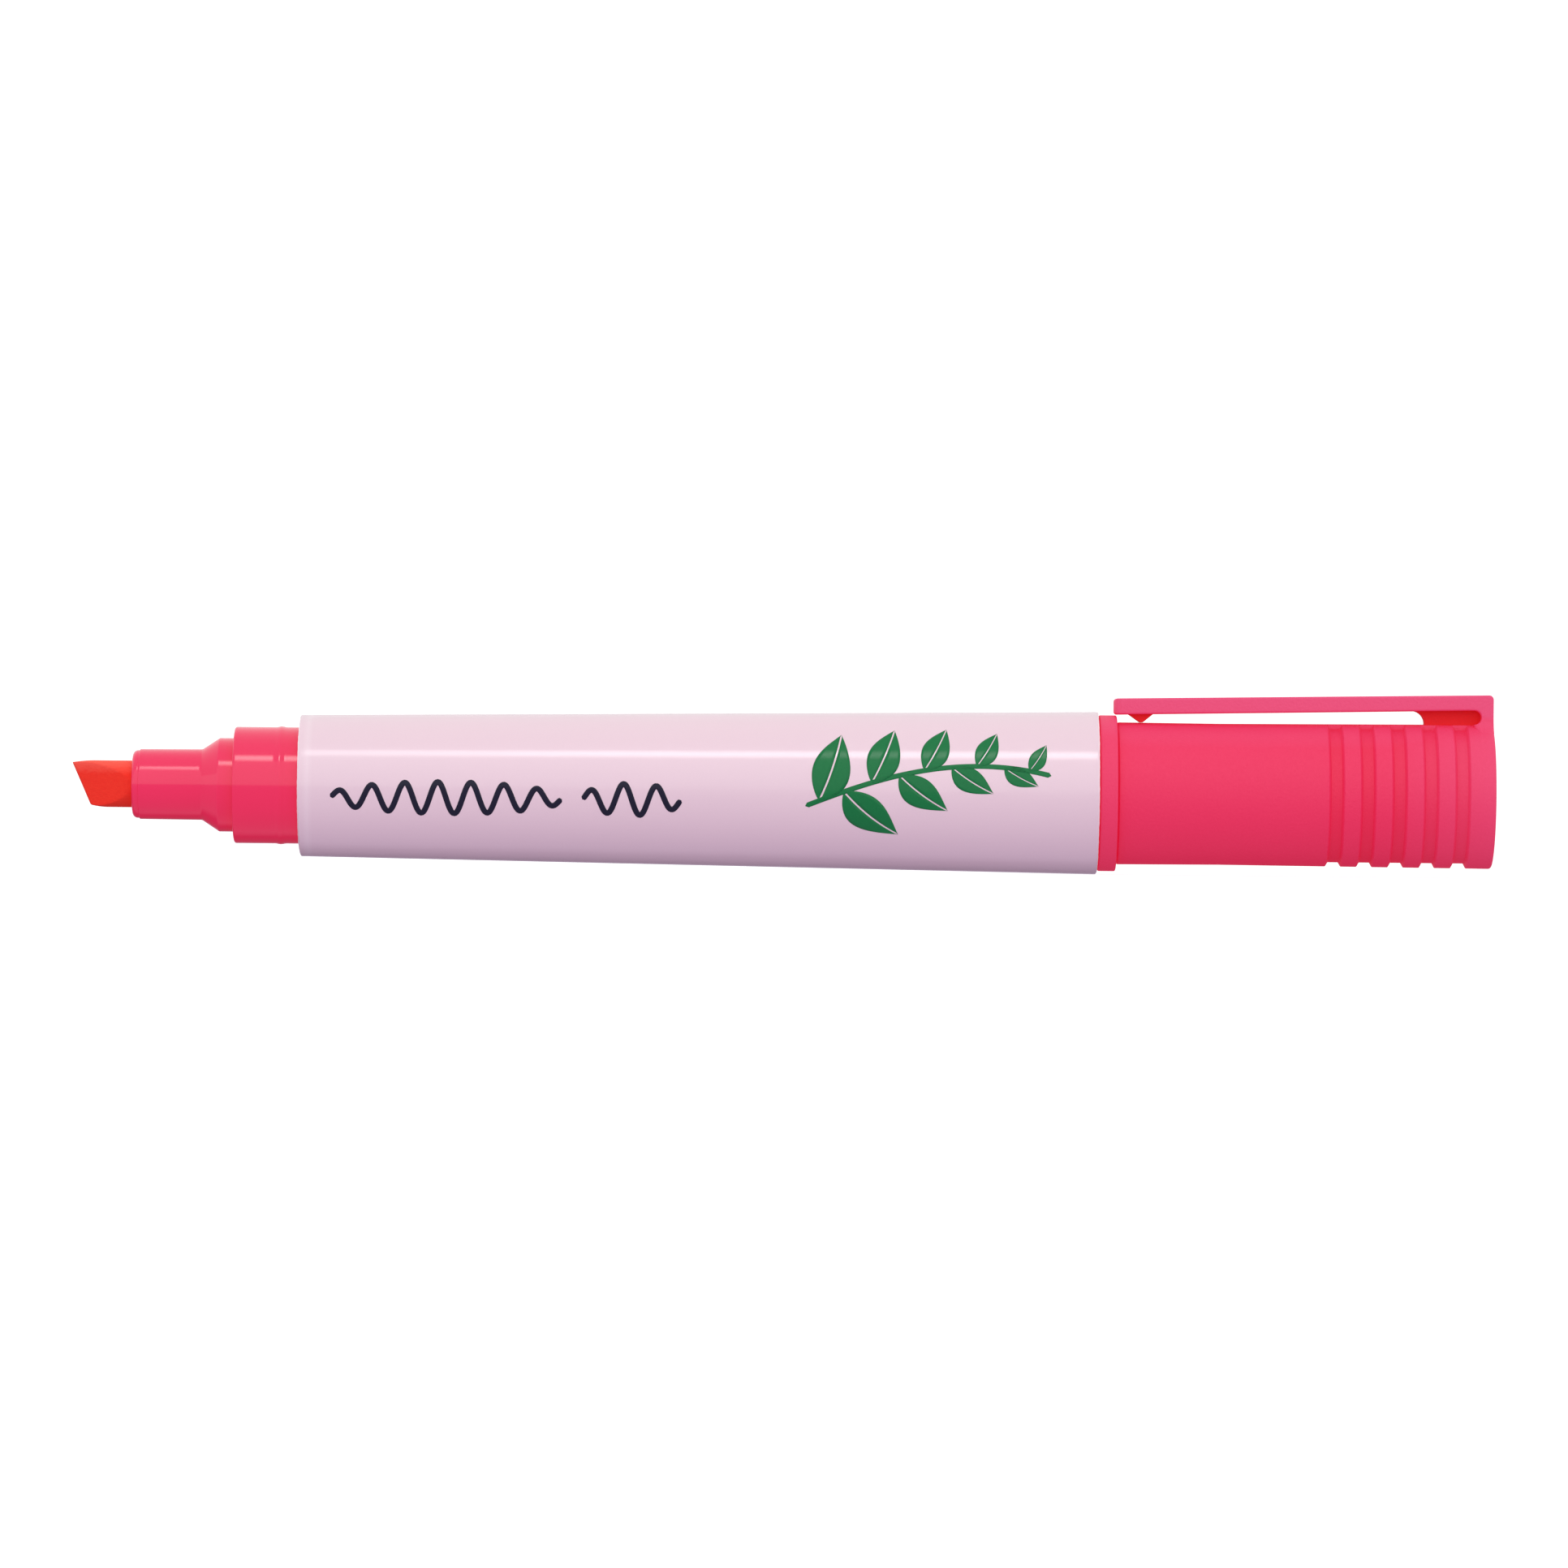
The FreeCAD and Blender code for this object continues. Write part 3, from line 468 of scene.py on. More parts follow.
class Wire:
    """A number coming out of a shader socket; arithmetic on it adds Math nodes."""

    def __init__(self, board, socket):
        self.board = board
        self.socket = socket

    def math(self, operation, *values):
        node = self.board.node("ShaderNodeMath", {"operation": operation}, dict(enumerate(values)))
        return Wire(self.board, node.outputs[0])

    def __add__(self, other):
        return self.math("ADD", self, other)

    def __sub__(self, other):
        return self.math("SUBTRACT", self, other)

    def __mul__(self, other):
        return self.math("MULTIPLY", self, other)

    def __rsub__(self, other):
        return self.math("SUBTRACT", other, self)

    __radd__ = __add__
    __rmul__ = __mul__

    def most(self, other):
        """The larger of two numbers."""
        return self.math("MAXIMUM", self, other)

    def clamp(self):
        """The number kept between 0 and 1."""
        return self.math("MINIMUM", self.most(0.0), 1.0)

    def above(self, edge, softness):
        """0 below an edge and 1 above it, with a ramp of the given width between."""
        return ((self - edge) * (1 / softness) + 0.5).clamp()

    def around(self, middle, half, softness):
        """1 within half of a middle and 0 outside, with a ramp of the given width at both sides."""
        away = self.math("ABSOLUTE", self - middle)
        return ((half - away) * (1 / softness) + 0.5).clamp()


class Board:
    """The nodes of one material, or of the sky."""

    def __init__(self, owner):
        owner.use_nodes = True
        self.tree = owner.node_tree
        self.tree.nodes.clear()

    def node(self, kind, settings, inputs):
        """Adds a node: its settings first, then the value or link of each named socket."""
        node = self.tree.nodes.new(kind)
        for key, value in settings.items():
            setattr(node, key, value)
        for key, value in inputs.items():
            self.feed(node, key, value)
        return node

    def feed(self, node, key, value):
        """Links a socket or sets its value."""
        socket = node.inputs[key.replace("_", " ") if isinstance(key, str) else key]
        value = value.socket if isinstance(value, Wire) else value
        if isinstance(value, bpy.types.NodeSocket):
            self.tree.links.new(value, socket)
        elif hasattr(value, "__len__") and len(socket.default_value) == 4:
            socket.default_value = (*value, 1)
        else:
            socket.default_value = value

    def axes(self, vector):
        """The three numbers of a vector."""
        parts = self.node("ShaderNodeSeparateXYZ", {}, {0: vector})
        return [Wire(self, output) for output in parts.outputs]

    def mix(self, factor, first, second):
        """A colour between two others."""
        node = self.node("ShaderNodeMix", {"data_type": "RGBA"}, {0: factor, 6: first, 7: second})
        return node.outputs[2]


class Finish(Board):
    """One material's nodes, on coordinates in millimetres in the pen's own frame."""

    def __init__(self, name, **constants):
        self.material = bpy.data.materials.new(name)
        super().__init__(self.material)
        self.shader = self.node("ShaderNodeBsdfPrincipled", {}, constants)
        self.node("ShaderNodeOutputMaterial", {}, {0: self.shader.outputs[0]})
        metres = self.node("ShaderNodeTexCoord", {}, {}).outputs["Object"]
        scaled = self.node("ShaderNodeVectorMath", {"operation": "SCALE"}, {0: metres, "Scale": 1 / MM})
        self.place = scaled.outputs[0]

    def noise(self, scale, detail=3, stretch=(1, 1, 1)):
        """Noise between about 0 and 1; scale counts its blobs in a millimetre."""
        place = self.node("ShaderNodeMapping", {}, {"Vector": self.place, "Scale": stretch}).outputs[0]
        node = self.node("ShaderNodeTexNoise", {}, {"Vector": place, "Scale": scale, "Detail": detail})
        return Wire(self, node.outputs[0])

    def from_axis(self):
        """Distance along the pen, height above its axis and distance from its axis, in millimetres."""
        along, across, up = self.axes(self.place)
        up = up - AXIS_Z / MM
        total = across * across + up * up
        return along, up, total.math("SQRT", total)

    def paint(self, **inputs):
        """Links or sets inputs of the main shader."""
        for key, value in inputs.items():
            self.feed(self.shader, key, value)

    def emboss(self, height, depth):
        """Raises the surface by a height between 0 and 1, times a depth in millimetres."""
        bump = self.node("ShaderNodeBump", {}, {"Height": height, "Distance": depth * MM, "Strength": 1.0})
        self.paint(Normal=bump.outputs[0])


def shade(piece, material):
    """Makes the material the piece's only one."""
    piece.data.materials.clear()
    piece.data.materials.append(material)


def keep_or_make(name, make):
    """The material of that name, made the first time it is asked for."""
    return bpy.data.materials.get(name) or make(name)


def shaded(colour_value, factor):
    """A colour made lighter or darker by a factor."""
    return [channel * factor for channel in colour_value]


def moulded_gloss(name):
    """Polished pink plastic: faint flow marks in the colour, an almost smooth glossy face and a painted red
    glow.
    """
    front = settings().front
    # Painted glow: the red emission makes the plastic glow though it is no lamp.
    finish = Finish(name, IOR=1.49, Coat_Weight=0.75, Coat_Roughness=0.06, Specular_IOR_Level=0.15,
                    Emission_Color=settings().cap.glow, Emission_Strength=1.12)
    flow = finish.noise(0.22, 2, (0.35, 1, 1))
    grain = finish.noise(9.0, 2)
    deep = shaded(front.pink, 0.90)
    finish.paint(Base_Color=finish.mix(flow, front.pink, deep), Roughness=0.27 + grain * 0.08)
    finish.emboss(grain * 0.1 + flow * 0.9, 0.006)
    return finish.material


def moulded_matte(name):
    """Pink plastic from a spark-eroded mould: a fine even grain, dull with a soft shine and a painted red
    glow. Painted shade makes it deeper on the floors of the grooves, and painted light makes it paler in
    the clip, on the cap's top under the clip and towards the closed end."""
    cap = settings().cap
    # Painted glow: the red emission makes the plastic glow though it is no lamp.
    finish = Finish(name, IOR=1.49, Specular_IOR_Level=0.35, Emission_Color=cap.glow, Emission_Strength=1.0)
    grain = finish.noise(3.4, 4)
    cloud = finish.noise(0.3, 2)
    deep = [cap.pink[0] * 0.97, cap.pink[1] * 0.8, cap.pink[2] * 0.9]
    outer = finish.mix(grain * 0.7 + cloud * 0.3, cap.pink, deep)
    along, up, radius = finish.from_axis()
    # Painted shade: surfaces nearer the axis than the groove lip, the groove floors, take the deeper pink.
    outer = finish.mix(radius.above(cap.groove_lip / MM, 0.2), cap.painted_groove_shade, outer)
    # Painted light: paler pink towards the closed end, on the cap's top under the clip and in the clip
    # itself.
    fade = cap.painted_light_reach / MM
    painted_light_near_end = along.above(high("cap_shell", 0) / MM - fade / 2, fade) * 0.5
    painted_light_under_clip = up.above(cap.painted_light_height / MM, 2.4) * 0.5
    painted_light_in_clip = radius.above(cap.clip_base / MM, 0.9)
    finish.paint(Base_Color=finish.mix(painted_light_near_end.most(painted_light_under_clip).most(painted_light_in_clip), outer, cap.painted_light_pink),
                 Roughness=0.50 + grain * 0.14)
    finish.emboss(grain, 0.045)
    return finish.material


def moulded_recess_shade(name):
    """Thin inner walls of the cap: the same dull plastic, painted a deeper red as shade in the recess under
    the clip.
    """
    clip = settings().clip
    finish = Finish(name, IOR=1.49, Specular_IOR_Level=0.2)
    grain = finish.noise(3.4, 4)
    bright = shaded(clip.recess_shade_red, 1.1)
    finish.paint(Base_Color=finish.mix(grain, clip.recess_shade_red, bright), Roughness=0.55 + grain * 0.12)
    finish.emboss(grain, 0.02)
    return finish.material


def felt(name):
    """Bonded fibre full of ink: strands along the nib, fuzzy and lighter where they end, and a painted
    highlight that makes it paler along its upper side."""
    nib = settings().nib
    finish = Finish(name, Specular_IOR_Level=0.2, Sheen_Weight=0.1, Sheen_Roughness=0.5,
                    Sheen_Tint=(1.0, 0.35, 0.12))
    strands = finish.noise(5.0, 4, (0.12, 1, 1))
    fuzz = finish.noise(11.0, 3)
    _, height, _ = finish.from_axis()
    # Painted highlight: the felt turns paler above a height over the axis.
    painted_top_highlight = (height + strands * 0.8).above(nib.painted_highlight_height / MM, 1.3)
    soaked = finish.mix(strands * 0.7 + fuzz * 0.3, nib.felt, nib.felt_light)
    finish.paint(Base_Color=finish.mix(painted_top_highlight, soaked, nib.felt_painted_highlight), Roughness=0.72 + fuzz * 0.2)
    finish.emboss(strands * 0.6 + fuzz * 0.4, 0.05)
    return finish.material


def shrunk_film(name):
    """Glossy printed film: a faint print grain, soft shrink ripples, a bare pale cut edge and a painted
    highlight: a lighter band just behind the front edge."""
    label = settings().label
    finish = Finish(name, IOR=1.5, Coat_Weight=0.7, Coat_Roughness=0.06, Specular_IOR_Level=0.4)
    along = finish.axes(finish.place)[0]
    grain = finish.noise(7.0, 3)
    ripple = finish.noise(0.25, 3, (0.25, 1, 1))
    front, rear = (end / MM for end in span("label_sleeve"))
    bare, blur = label.bare_edge / MM, 0.05
    cut = (front + bare - along).above(0.0, blur) + (along - rear + bare).above(0.0, blur)
    # Painted highlight: a band of the film's colour mixed towards the pale cut edge colour.
    painted_highlight_band = along.around(front + label.highlight_band_place / MM, 0.3, 0.5) * 0.25
    printed = finish.mix(grain, label.pale, shaded(label.pale, 0.965))
    printed = finish.mix(painted_highlight_band, printed, label.cut_edge)
    finish.paint(Base_Color=finish.mix(cut, printed, label.cut_edge), Roughness=0.34 + grain * 0.08)
    finish.emboss(ripple + grain * 0.02, 0.010)
    return finish.material


def printed_ink(name, ink):
    """A printed solid: slightly uneven ink with a soft gloss."""
    finish = Finish(name, IOR=1.5, Coat_Weight=0.2, Coat_Roughness=0.07, Specular_IOR_Level=0.15)
    mottle = finish.noise(4.0, 3)
    light = [c * 1.12 + 0.004 for c in ink]
    finish.paint(Base_Color=finish.mix(mottle, ink, light), Roughness=0.36 + mottle * 0.1)
    finish.emboss(mottle, 0.004)
    return finish.material


def soft_plastic(name):
    """Natural polythene: milky, waxy, with faint turning marks round the axis."""
    cap = settings().cap
    finish = Finish(name, IOR=1.51, Subsurface_Weight=0.2, Subsurface_Scale=0.001, Specular_IOR_Level=0.35)
    rings = finish.noise(3.0, 2, (1, 0.05, 0.05))
    cloud = finish.noise(0.6, 3)
    dull = shaded(cap.liner_white, 0.9)
    finish.paint(Base_Color=finish.mix(cloud, cap.liner_white, dull), Roughness=0.38 + cloud * 0.15)
    finish.emboss(rings, 0.01)
    return finish.material


def wet_fibre(name):
    """Fibre core full of ink: long strands, wet and pale by turns."""
    refill = settings().refill
    finish = Finish(name, Sheen_Weight=0.2, Specular_IOR_Level=0.3)
    strands = finish.noise(3.5, 4, (0.04, 1, 1))
    finish.paint(Base_Color=finish.mix(strands, refill.wet, refill.dry), Roughness=0.6 + strands * 0.3)
    finish.emboss(strands, 0.08)
    return finish.material


def creased_wrap(name):
    """Thin clear film over the fibre core: tinted, with fine lengthwise creases."""
    refill = settings().refill
    finish = Finish(name, IOR=1.5, Alpha=0.45, Specular_IOR_Level=0.5)
    crease = finish.noise(1.6, 3, (0.08, 1, 1))
    tinted = shaded(refill.film, 0.85)
    finish.paint(Base_Color=finish.mix(crease, refill.film, tinted), Roughness=0.15 + crease * 0.15)
    finish.emboss(crease, 0.03)
    return finish.material


# ---------------------------------------------------------------- pieces

def settle(piece, body, slot, *nodes):
    """Puts a finished piece on its body and hides the frame nodes it stands for. The slot argument is not
    used.
    """
    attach(piece, body)
    if nodes:
        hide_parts(*nodes)


class HIGHLIGHTER_OT_nib(bpy.types.Operator):
    """Chisel nib: a round rod whose two flats meet in a slanted edge"""
    bl_idname = "highlighter.nib"
    bl_label = "Nib"

    def execute(self, context):
        """The rod's section is a circle. At a distance s behind the slanted front, the sides are
        pressed in to a half width that grows from the rounded edge in step with s, and a soft
        minimum of the two widths leaves a narrow crease between flat and round. Near the front the
        top falls and the bottom rises, each by a squared share of the way to the edge."""
        nib = settings().nib
        radius = high("nib", 1)
        tip = low("nib", 0)
        rear = low("nib_holder", 0) + nib.shown_rear
        grow = (radius - nib.land) / nib.flat_run
        lean = math.tan(nib.slant)
        columns = 320
        angle = round_angles(columns)
        near = 1 - np.cos(np.linspace(0, math.pi / 2, 10))
        behind = np.concatenate([near * nib.land, np.linspace(nib.land, rear - tip, 260)[1:]])[:, None]
        y = radius * np.cos(angle) + 0 * behind
        z = radius * np.sin(angle) + 0 * behind
        half = nib.land * quarter_circle(behind / nib.land) + behind * grow
        width = np.abs(y)
        soft = nib.crease * np.minimum(1, behind / nib.flat_run * 3)
        pressed = (width + half - np.sqrt((width - half) ** 2 + soft ** 2)) / 2
        y = np.sign(y) * np.maximum(pressed, 0) * (behind > 0)
        front = tip + (radius - z) * lean
        front = front + nib.heel * 0.8 * (1 - quarter_circle((z + radius) / nib.heel))
        front = front + nib.toe / 2 * (1 - quarter_circle((radius - z) / nib.toe))
        x = front + behind * (rear - front) / (rear - tip)
        fall = nib.top_drop * np.clip(1 - behind / nib.top_run, 0, 1) ** 2
        rise = nib.low_rise * np.clip(1 - behind / nib.low_run, 0, 1) ** 2
        z = z * (1 - np.where(z > 0, fall, rise) / radius)
        points = on_axis(x, y, z)
        end = on_axis(np.full((1, columns), rear), 0 * angle, 0 * angle)
        piece = grid_piece("nib_chisel", np.concatenate([points, end]))
        shade(piece, keep_or_make("inked_felt", felt))
        settle(piece, "pen", "nib_felt", "nib")
        return {"FINISHED"}


class HIGHLIGHTER_OT_holder(bpy.types.Operator):
    """Nib holder: thinner lip, straight grip, cone and seat, turned about the axis"""
    bl_idname = "highlighter.holder"
    bl_label = "Nib holder"

    def execute(self, context):
        front = settings().front
        nose = low("nib_holder", 0)
        rear = high("nib_holder", 0)
        seat = high("nib_holder", 1)
        bore = high("nib", 1) + front.fit_gap
        path = outline([
            (nose + front.bore_lead, bore, 0),
            (nose, bore + front.bore_lead, 0.05 * MM),
            (nose, front.lip_radius, front.lip_round),
            (nose + front.lip, front.lip_radius, 0.03 * MM),
            (nose + front.lip + 0.05 * MM, front.grip_radius, 0.06 * MM),
            (nose + front.cone_start, front.grip_rear_radius, 0.5 * MM),
            (nose + front.cone_end, seat, 0.25 * MM),
            (rear, seat, 0.1 * MM),
            (rear, bore, 0.1 * MM),
        ], closed=True)
        piece = grid_piece("nib_holder_shell", turned_points(path), wrap_u=True)
        shade(piece, keep_or_make("polished_pink", moulded_gloss))
        settle(piece, "pen", "gloss_pink", "nib_holder")
        return {"FINISHED"}


def sleeve_surface(angle, under):
    """x and radius of the label's outside, or of a surface a little under it, on a grid of rows along
    the pen and the given angles. The radius grows evenly from front to rear, and at each end the
    rows come in along a quarter ellipse that is deepest under the pen and slight on top."""
    label = settings().label
    front, rear = span("label_sleeve")
    turn = np.linspace(0, math.pi / 2, 10)
    outward, inward = label.wrap_reach * (1 - np.sin(turn)), 1 - np.cos(turn)
    straight = np.linspace(front + label.wrap_reach, rear - label.wrap_reach, 92)[1:-1]
    none = np.zeros(len(straight) + len(turn))
    x = np.concatenate([front + outward[::-1], straight, rear - outward])[:, None]
    fore = np.concatenate([inward[::-1], none])[:, None]
    aft = np.concatenate([none, inward])[:, None]
    below = ((1 - np.sin(angle)) / 2) ** 2
    radius = (label.front_radius + (AXIS_Z - label.front_radius) * (x - front) / (rear - front)
              - fore * (label.wrap_top + (label.wrap_low_front - label.wrap_top) * below)
              - aft * (label.wrap_top + (label.wrap_low_rear - label.wrap_top) * below) - under)
    return np.clip(x, front + under, rear - under) + 0 * angle, radius, fore, aft


def raised_ring(path, middle, radius):
    """The outline with a snap ring on its cylinder: a raised cosine around the ring's middle."""
    front = settings().front
    away = np.abs(path[:, 0] - middle) / front.snap_spread
    on_wall = (away < 1) & (np.abs(path[:, 1] - radius) < front.snap_height)
    swell = front.snap_height * (1 + np.cos(np.minimum(away, 1) * math.pi)) / 2
    return np.stack([path[:, 0], path[:, 1] + np.where(on_wall, swell, 0)], axis=1)


class HIGHLIGHTER_OT_barrel(bpy.types.Operator):
    """Barrel: the neck with its snap ring, the shoulder and the tube under the film"""
    bl_idname = "highlighter.barrel"
    bl_label = "Barrel"

    def execute(self, context):
        """The neck's outline is turned about the axis, the tube follows the film from just under it,
        and a last outline closes the wall."""
        front = settings().front
        label = settings().label
        angle = round_angles(256)
        rim = low("barrel", 0)
        shoulder = rim + front.neck_length
        rear = high("barrel", 0)
        seat = high("nib_holder", 1) + front.fit_gap
        neck = outline([
            (rim + front.seat_depth, seat, 0),
            (rim, seat, 0.12 * MM),
            (rim, front.neck_radius, front.neck_round),
            (shoulder, front.neck_radius, 0),
        ], spacing=0.12 * MM)
        neck = raised_ring(neck, shoulder - front.snap_offset, front.neck_radius)
        tube_x, tube_radius, _, _ = sleeve_surface(angle, label.film + label.hidden_gap)
        inside = outline([
            (rear, AXIS_Z - front.rear_wall, 0),
            (shoulder + front.core_start, label.front_radius - front.fore_wall, 0),
            (shoulder + front.core_start, seat, 0),
        ], spacing=20 * MM)
        x = np.concatenate([neck[:, :1] + 0 * angle, tube_x, inside[:, :1] + 0 * angle])
        radius = np.concatenate([neck[:, 1:] + 0 * angle, tube_radius, inside[:, 1:] + 0 * angle])
        piece = grid_piece("barrel_tube", around_axis(x, radius, angle), wrap_u=True)
        shade(piece, keep_or_make("polished_pink", moulded_gloss))
        settle(piece, "pen", "gloss_pink", "barrel")
        return {"FINISHED"}


class HIGHLIGHTER_OT_label(bpy.types.Operator):
    """Label: thin film shrunk over the barrel, with ragged cut edges, faint ripples and a seam"""
    bl_idname = "highlighter.label"
    bl_label = "Label"

    def execute(self, context):
        """The film's outside and, one thickness under it, its inside. Each cut edge wanders along
        the pen by a sum of sines of the angle, slow sines dent the film by a ripple, and the
        overlap at the back is a raised band with smooth sides."""
        label = settings().label
        angle = round_angles(320)
        x, radius, fore, aft = sleeve_surface(angle, 0)
        inner_x, inner_radius, _, _ = sleeve_surface(angle, label.film)
        along = (x - x.min()) / np.ptp(x)
        middle = np.sin(along * math.pi) ** 0.5
        slow = waves(angle + along * 9, (2, 3, 5), (0.4, 2.0, 4.1)) * np.cos(along * 23 + 1)
        jag = (1 + waves(angle, (7, 19, 43, 71), (0.2, 1.7, 3.9, 5.2))) / 2
        from_back = np.abs((angle + math.pi) % TURN - math.pi)
        seam = smooth_step((label.seam_half - from_back) / label.seam_slope)
        radius = radius - label.ripple * middle * (1 + slow) / 2
        radius = radius + label.seam_height * seam * (1 - fore) * (1 - aft)
        wander = label.ragged * jag * (fore ** 2 - aft ** 2)
        x = np.concatenate([x + wander, (inner_x + wander)[::-1]])
        radius = np.concatenate([radius, inner_radius[::-1]])
        piece = grid_piece("label_film", around_axis(x, radius, angle), wrap_u=True)
        shade(piece, keep_or_make("printed_shrink_film", shrunk_film))
        settle(piece, "pen", "label_film", "label_sleeve")
        return {"FINISHED"}


def printed_patch(name, near, far, lift, across=5):
    """A thin closed ink shell between two lines (x, height along the side) on the label's cone.
    Points are mixed from line to line, wrapped round the cone by arc length, and given a top
    just above the film and a bottom just under it."""
    label = settings().label
    front, rear = span("label_sleeve")
    share_across = np.linspace(0, 1, across)[None, :, None]
    flat = near[:, None, :] * (1 - share_across) + far[:, None, :] * share_across
    loop = np.concatenate([flat, flat[:, ::-1]], axis=1)
    height = np.concatenate([np.full(across, lift), np.full(across, -lift * 2)])[None, :]
    along = (loop[..., 0] - front) / (rear - front)
    cone = label.front_radius + (AXIS_Z - label.front_radius) * along
    angle = loop[..., 1] / cone
    radius = cone + height
    points = on_axis(loop[..., 0], -radius * np.cos(angle), radius * np.sin(angle))
    return grid_piece(name, closed_ends(points))


def stroke(name, line, half, lift):
    """A printed line of a given half width along a centre line, with round ends: the half width
    falls to zero at both ends as the side of a circle does."""
    step = np.gradient(line, axis=0)
    step /= np.linalg.norm(step, axis=1, keepdims=True)
    normal = np.stack([-step[:, 1], step[:, 0]], axis=1)
    run = np.concatenate([[0], np.cumsum(np.linalg.norm(np.diff(line, axis=0), axis=1))])
    from_end = np.minimum(run, run[-1] - run)
    width = half * quarter_circle(from_end / half)[:, None]
    return printed_patch(name, line - normal * width, line + normal * width, lift)


def leaf(name, foot, direction, size, lift):
    """A leaf in two halves beside a bare midrib: the midrib bends like a parabola, and each half's
    width is a skewed sine of the way along it. Its proportions are shares of its length."""
    bend, breadth, rib_share = 0.16, 0.26, 0.012
    along = np.linspace(0, 1, 28)
    forward = np.array([math.cos(direction), math.sin(direction)])
    side = np.array([-forward[1], forward[0]])
    spine = foot + along[:, None] * size * forward + (along ** 2)[:, None] * size * bend * side
    width = size * breadth * np.sin(math.pi * along ** 0.8)[:, None]
    rib = size * rib_share
    halves = []
    for sign in (-1, 1):
        halves.append(printed_patch(f"{name}_{sign}", spine + side * sign * np.minimum(rib, width),
                                    spine + side * sign * width, lift, across=6))
    return halves


class HIGHLIGHTER_OT_print(bpy.types.Operator):
    """Print: a plain wavy pen stroke and a leafy sprig, in place of any wording"""
    bl_idname = "highlighter.print"
    bl_label = "Print"

    def execute(self, context):
        """The stroke is a sine along the pen in two lengths, each swelling towards its middle. The
        sprig's stem is about a quarter wave, and its leaves stand on either side by turns and get
        smaller and lean further forward towards its tip."""
        ink = settings().ink
        shoulder = low("barrel", 0) + settings().front.neck_length
        start, end = shoulder + ink.scribble_start, shoulder + ink.scribble_end
        pause = start + (end - start) * ink.scribble_split
        strokes = []
        for first, last, count in ((start, pause, ink.long_waves),
                                   (pause + ink.scribble_gap, end, ink.short_waves)):
            way = np.linspace(0, 1, count * 30)
            swell = np.sin(way * math.pi) ** 0.4
            rise = ink.scribble_height * swell * np.sin(way * count * TURN) - ink.scribble_drop
            line = np.stack([first + (last - first) * way, rise], axis=1)
            strokes.append(stroke("stroke", line, ink.scribble_line, ink.lift))
        piece = joined("print_pen_stroke", strokes)
        shade(piece, keep_or_make("navy_ink", lambda name: printed_ink(name, ink.navy)))
        settle(piece, "pen", "label_film")

        start, end = shoulder + ink.sprig_start, shoulder + ink.sprig_end
        steps = 90
        way = np.linspace(0, 1, steps)
        climb = ink.sprig_rise * np.sin(way * math.pi * 0.55) - ink.sprig_sag * way ** 2
        stem = np.stack([start + (end - start) * way, climb - ink.sprig_drop], axis=1)
        shells = [stroke("stem", stem, ink.stem_line, ink.lift)]
        for number in range(ink.leaf_count):
            place = 0.06 + 0.86 * number / (ink.leaf_count - 1)
            foot = stem[int(place * (steps - 1))]
            side = 1 if number % 2 == 0 else -1
            size = ink.leaf_length * (1 - ink.leaf_shrink * place)
            direction = side * (ink.leaf_lean - math.radians(16) * place) + 0.12
            shells += leaf(f"leaf_{number}", foot, direction, size, ink.lift)
        piece = joined("print_leaf_sprig", shells)
        shade(piece, keep_or_make("green_ink", lambda name: printed_ink(name, ink.green)))
        settle(piece, "pen", "label_film")
        return {"FINISHED"}


class HIGHLIGHTER_OT_tail(bpy.types.Operator):
    """Tail plug: flange, and the hollow stub with its snap ring that the cap is posted on"""
    bl_idname = "highlighter.tail"
    bl_label = "Tail plug"

    def execute(self, context):
        tail = settings().tail
        front = settings().front
        face = high("label_sleeve", 0) + tail.gap
        back = face + tail.flange
        rear = high("tail_plug", 0)
        hidden = low("tail_plug", 0) + tail.hidden
        sleeve = AXIS_Z - tail.sleeve_wall
        path = outline([
            (hidden, 0, 0),
            (hidden, sleeve, 0.2 * MM),
            (face, sleeve, 0.05 * MM),
            (face, tail.flange_radius, tail.flange_round),
            (back, tail.flange_radius, tail.flange_round),
            (back, front.neck_radius, 0.1 * MM),
            (rear, front.neck_radius, front.neck_round),
            (rear, front.neck_radius - tail.wall, 0.15 * MM),
            (rear - tail.floor_depth, front.neck_radius - tail.wall, 0.4 * MM),
            (rear - tail.floor_depth, 0, 0),
        ], spacing=0.12 * MM)
        path = raised_ring(path, back + front.snap_offset, front.neck_radius)
        piece = grid_piece("tail_plug_shell", turned_points(path))
        shade(piece, keep_or_make("eroded_pink", moulded_matte))
        settle(piece, "pen", "matte_pink", "tail_plug")
        return {"FINISHED"}


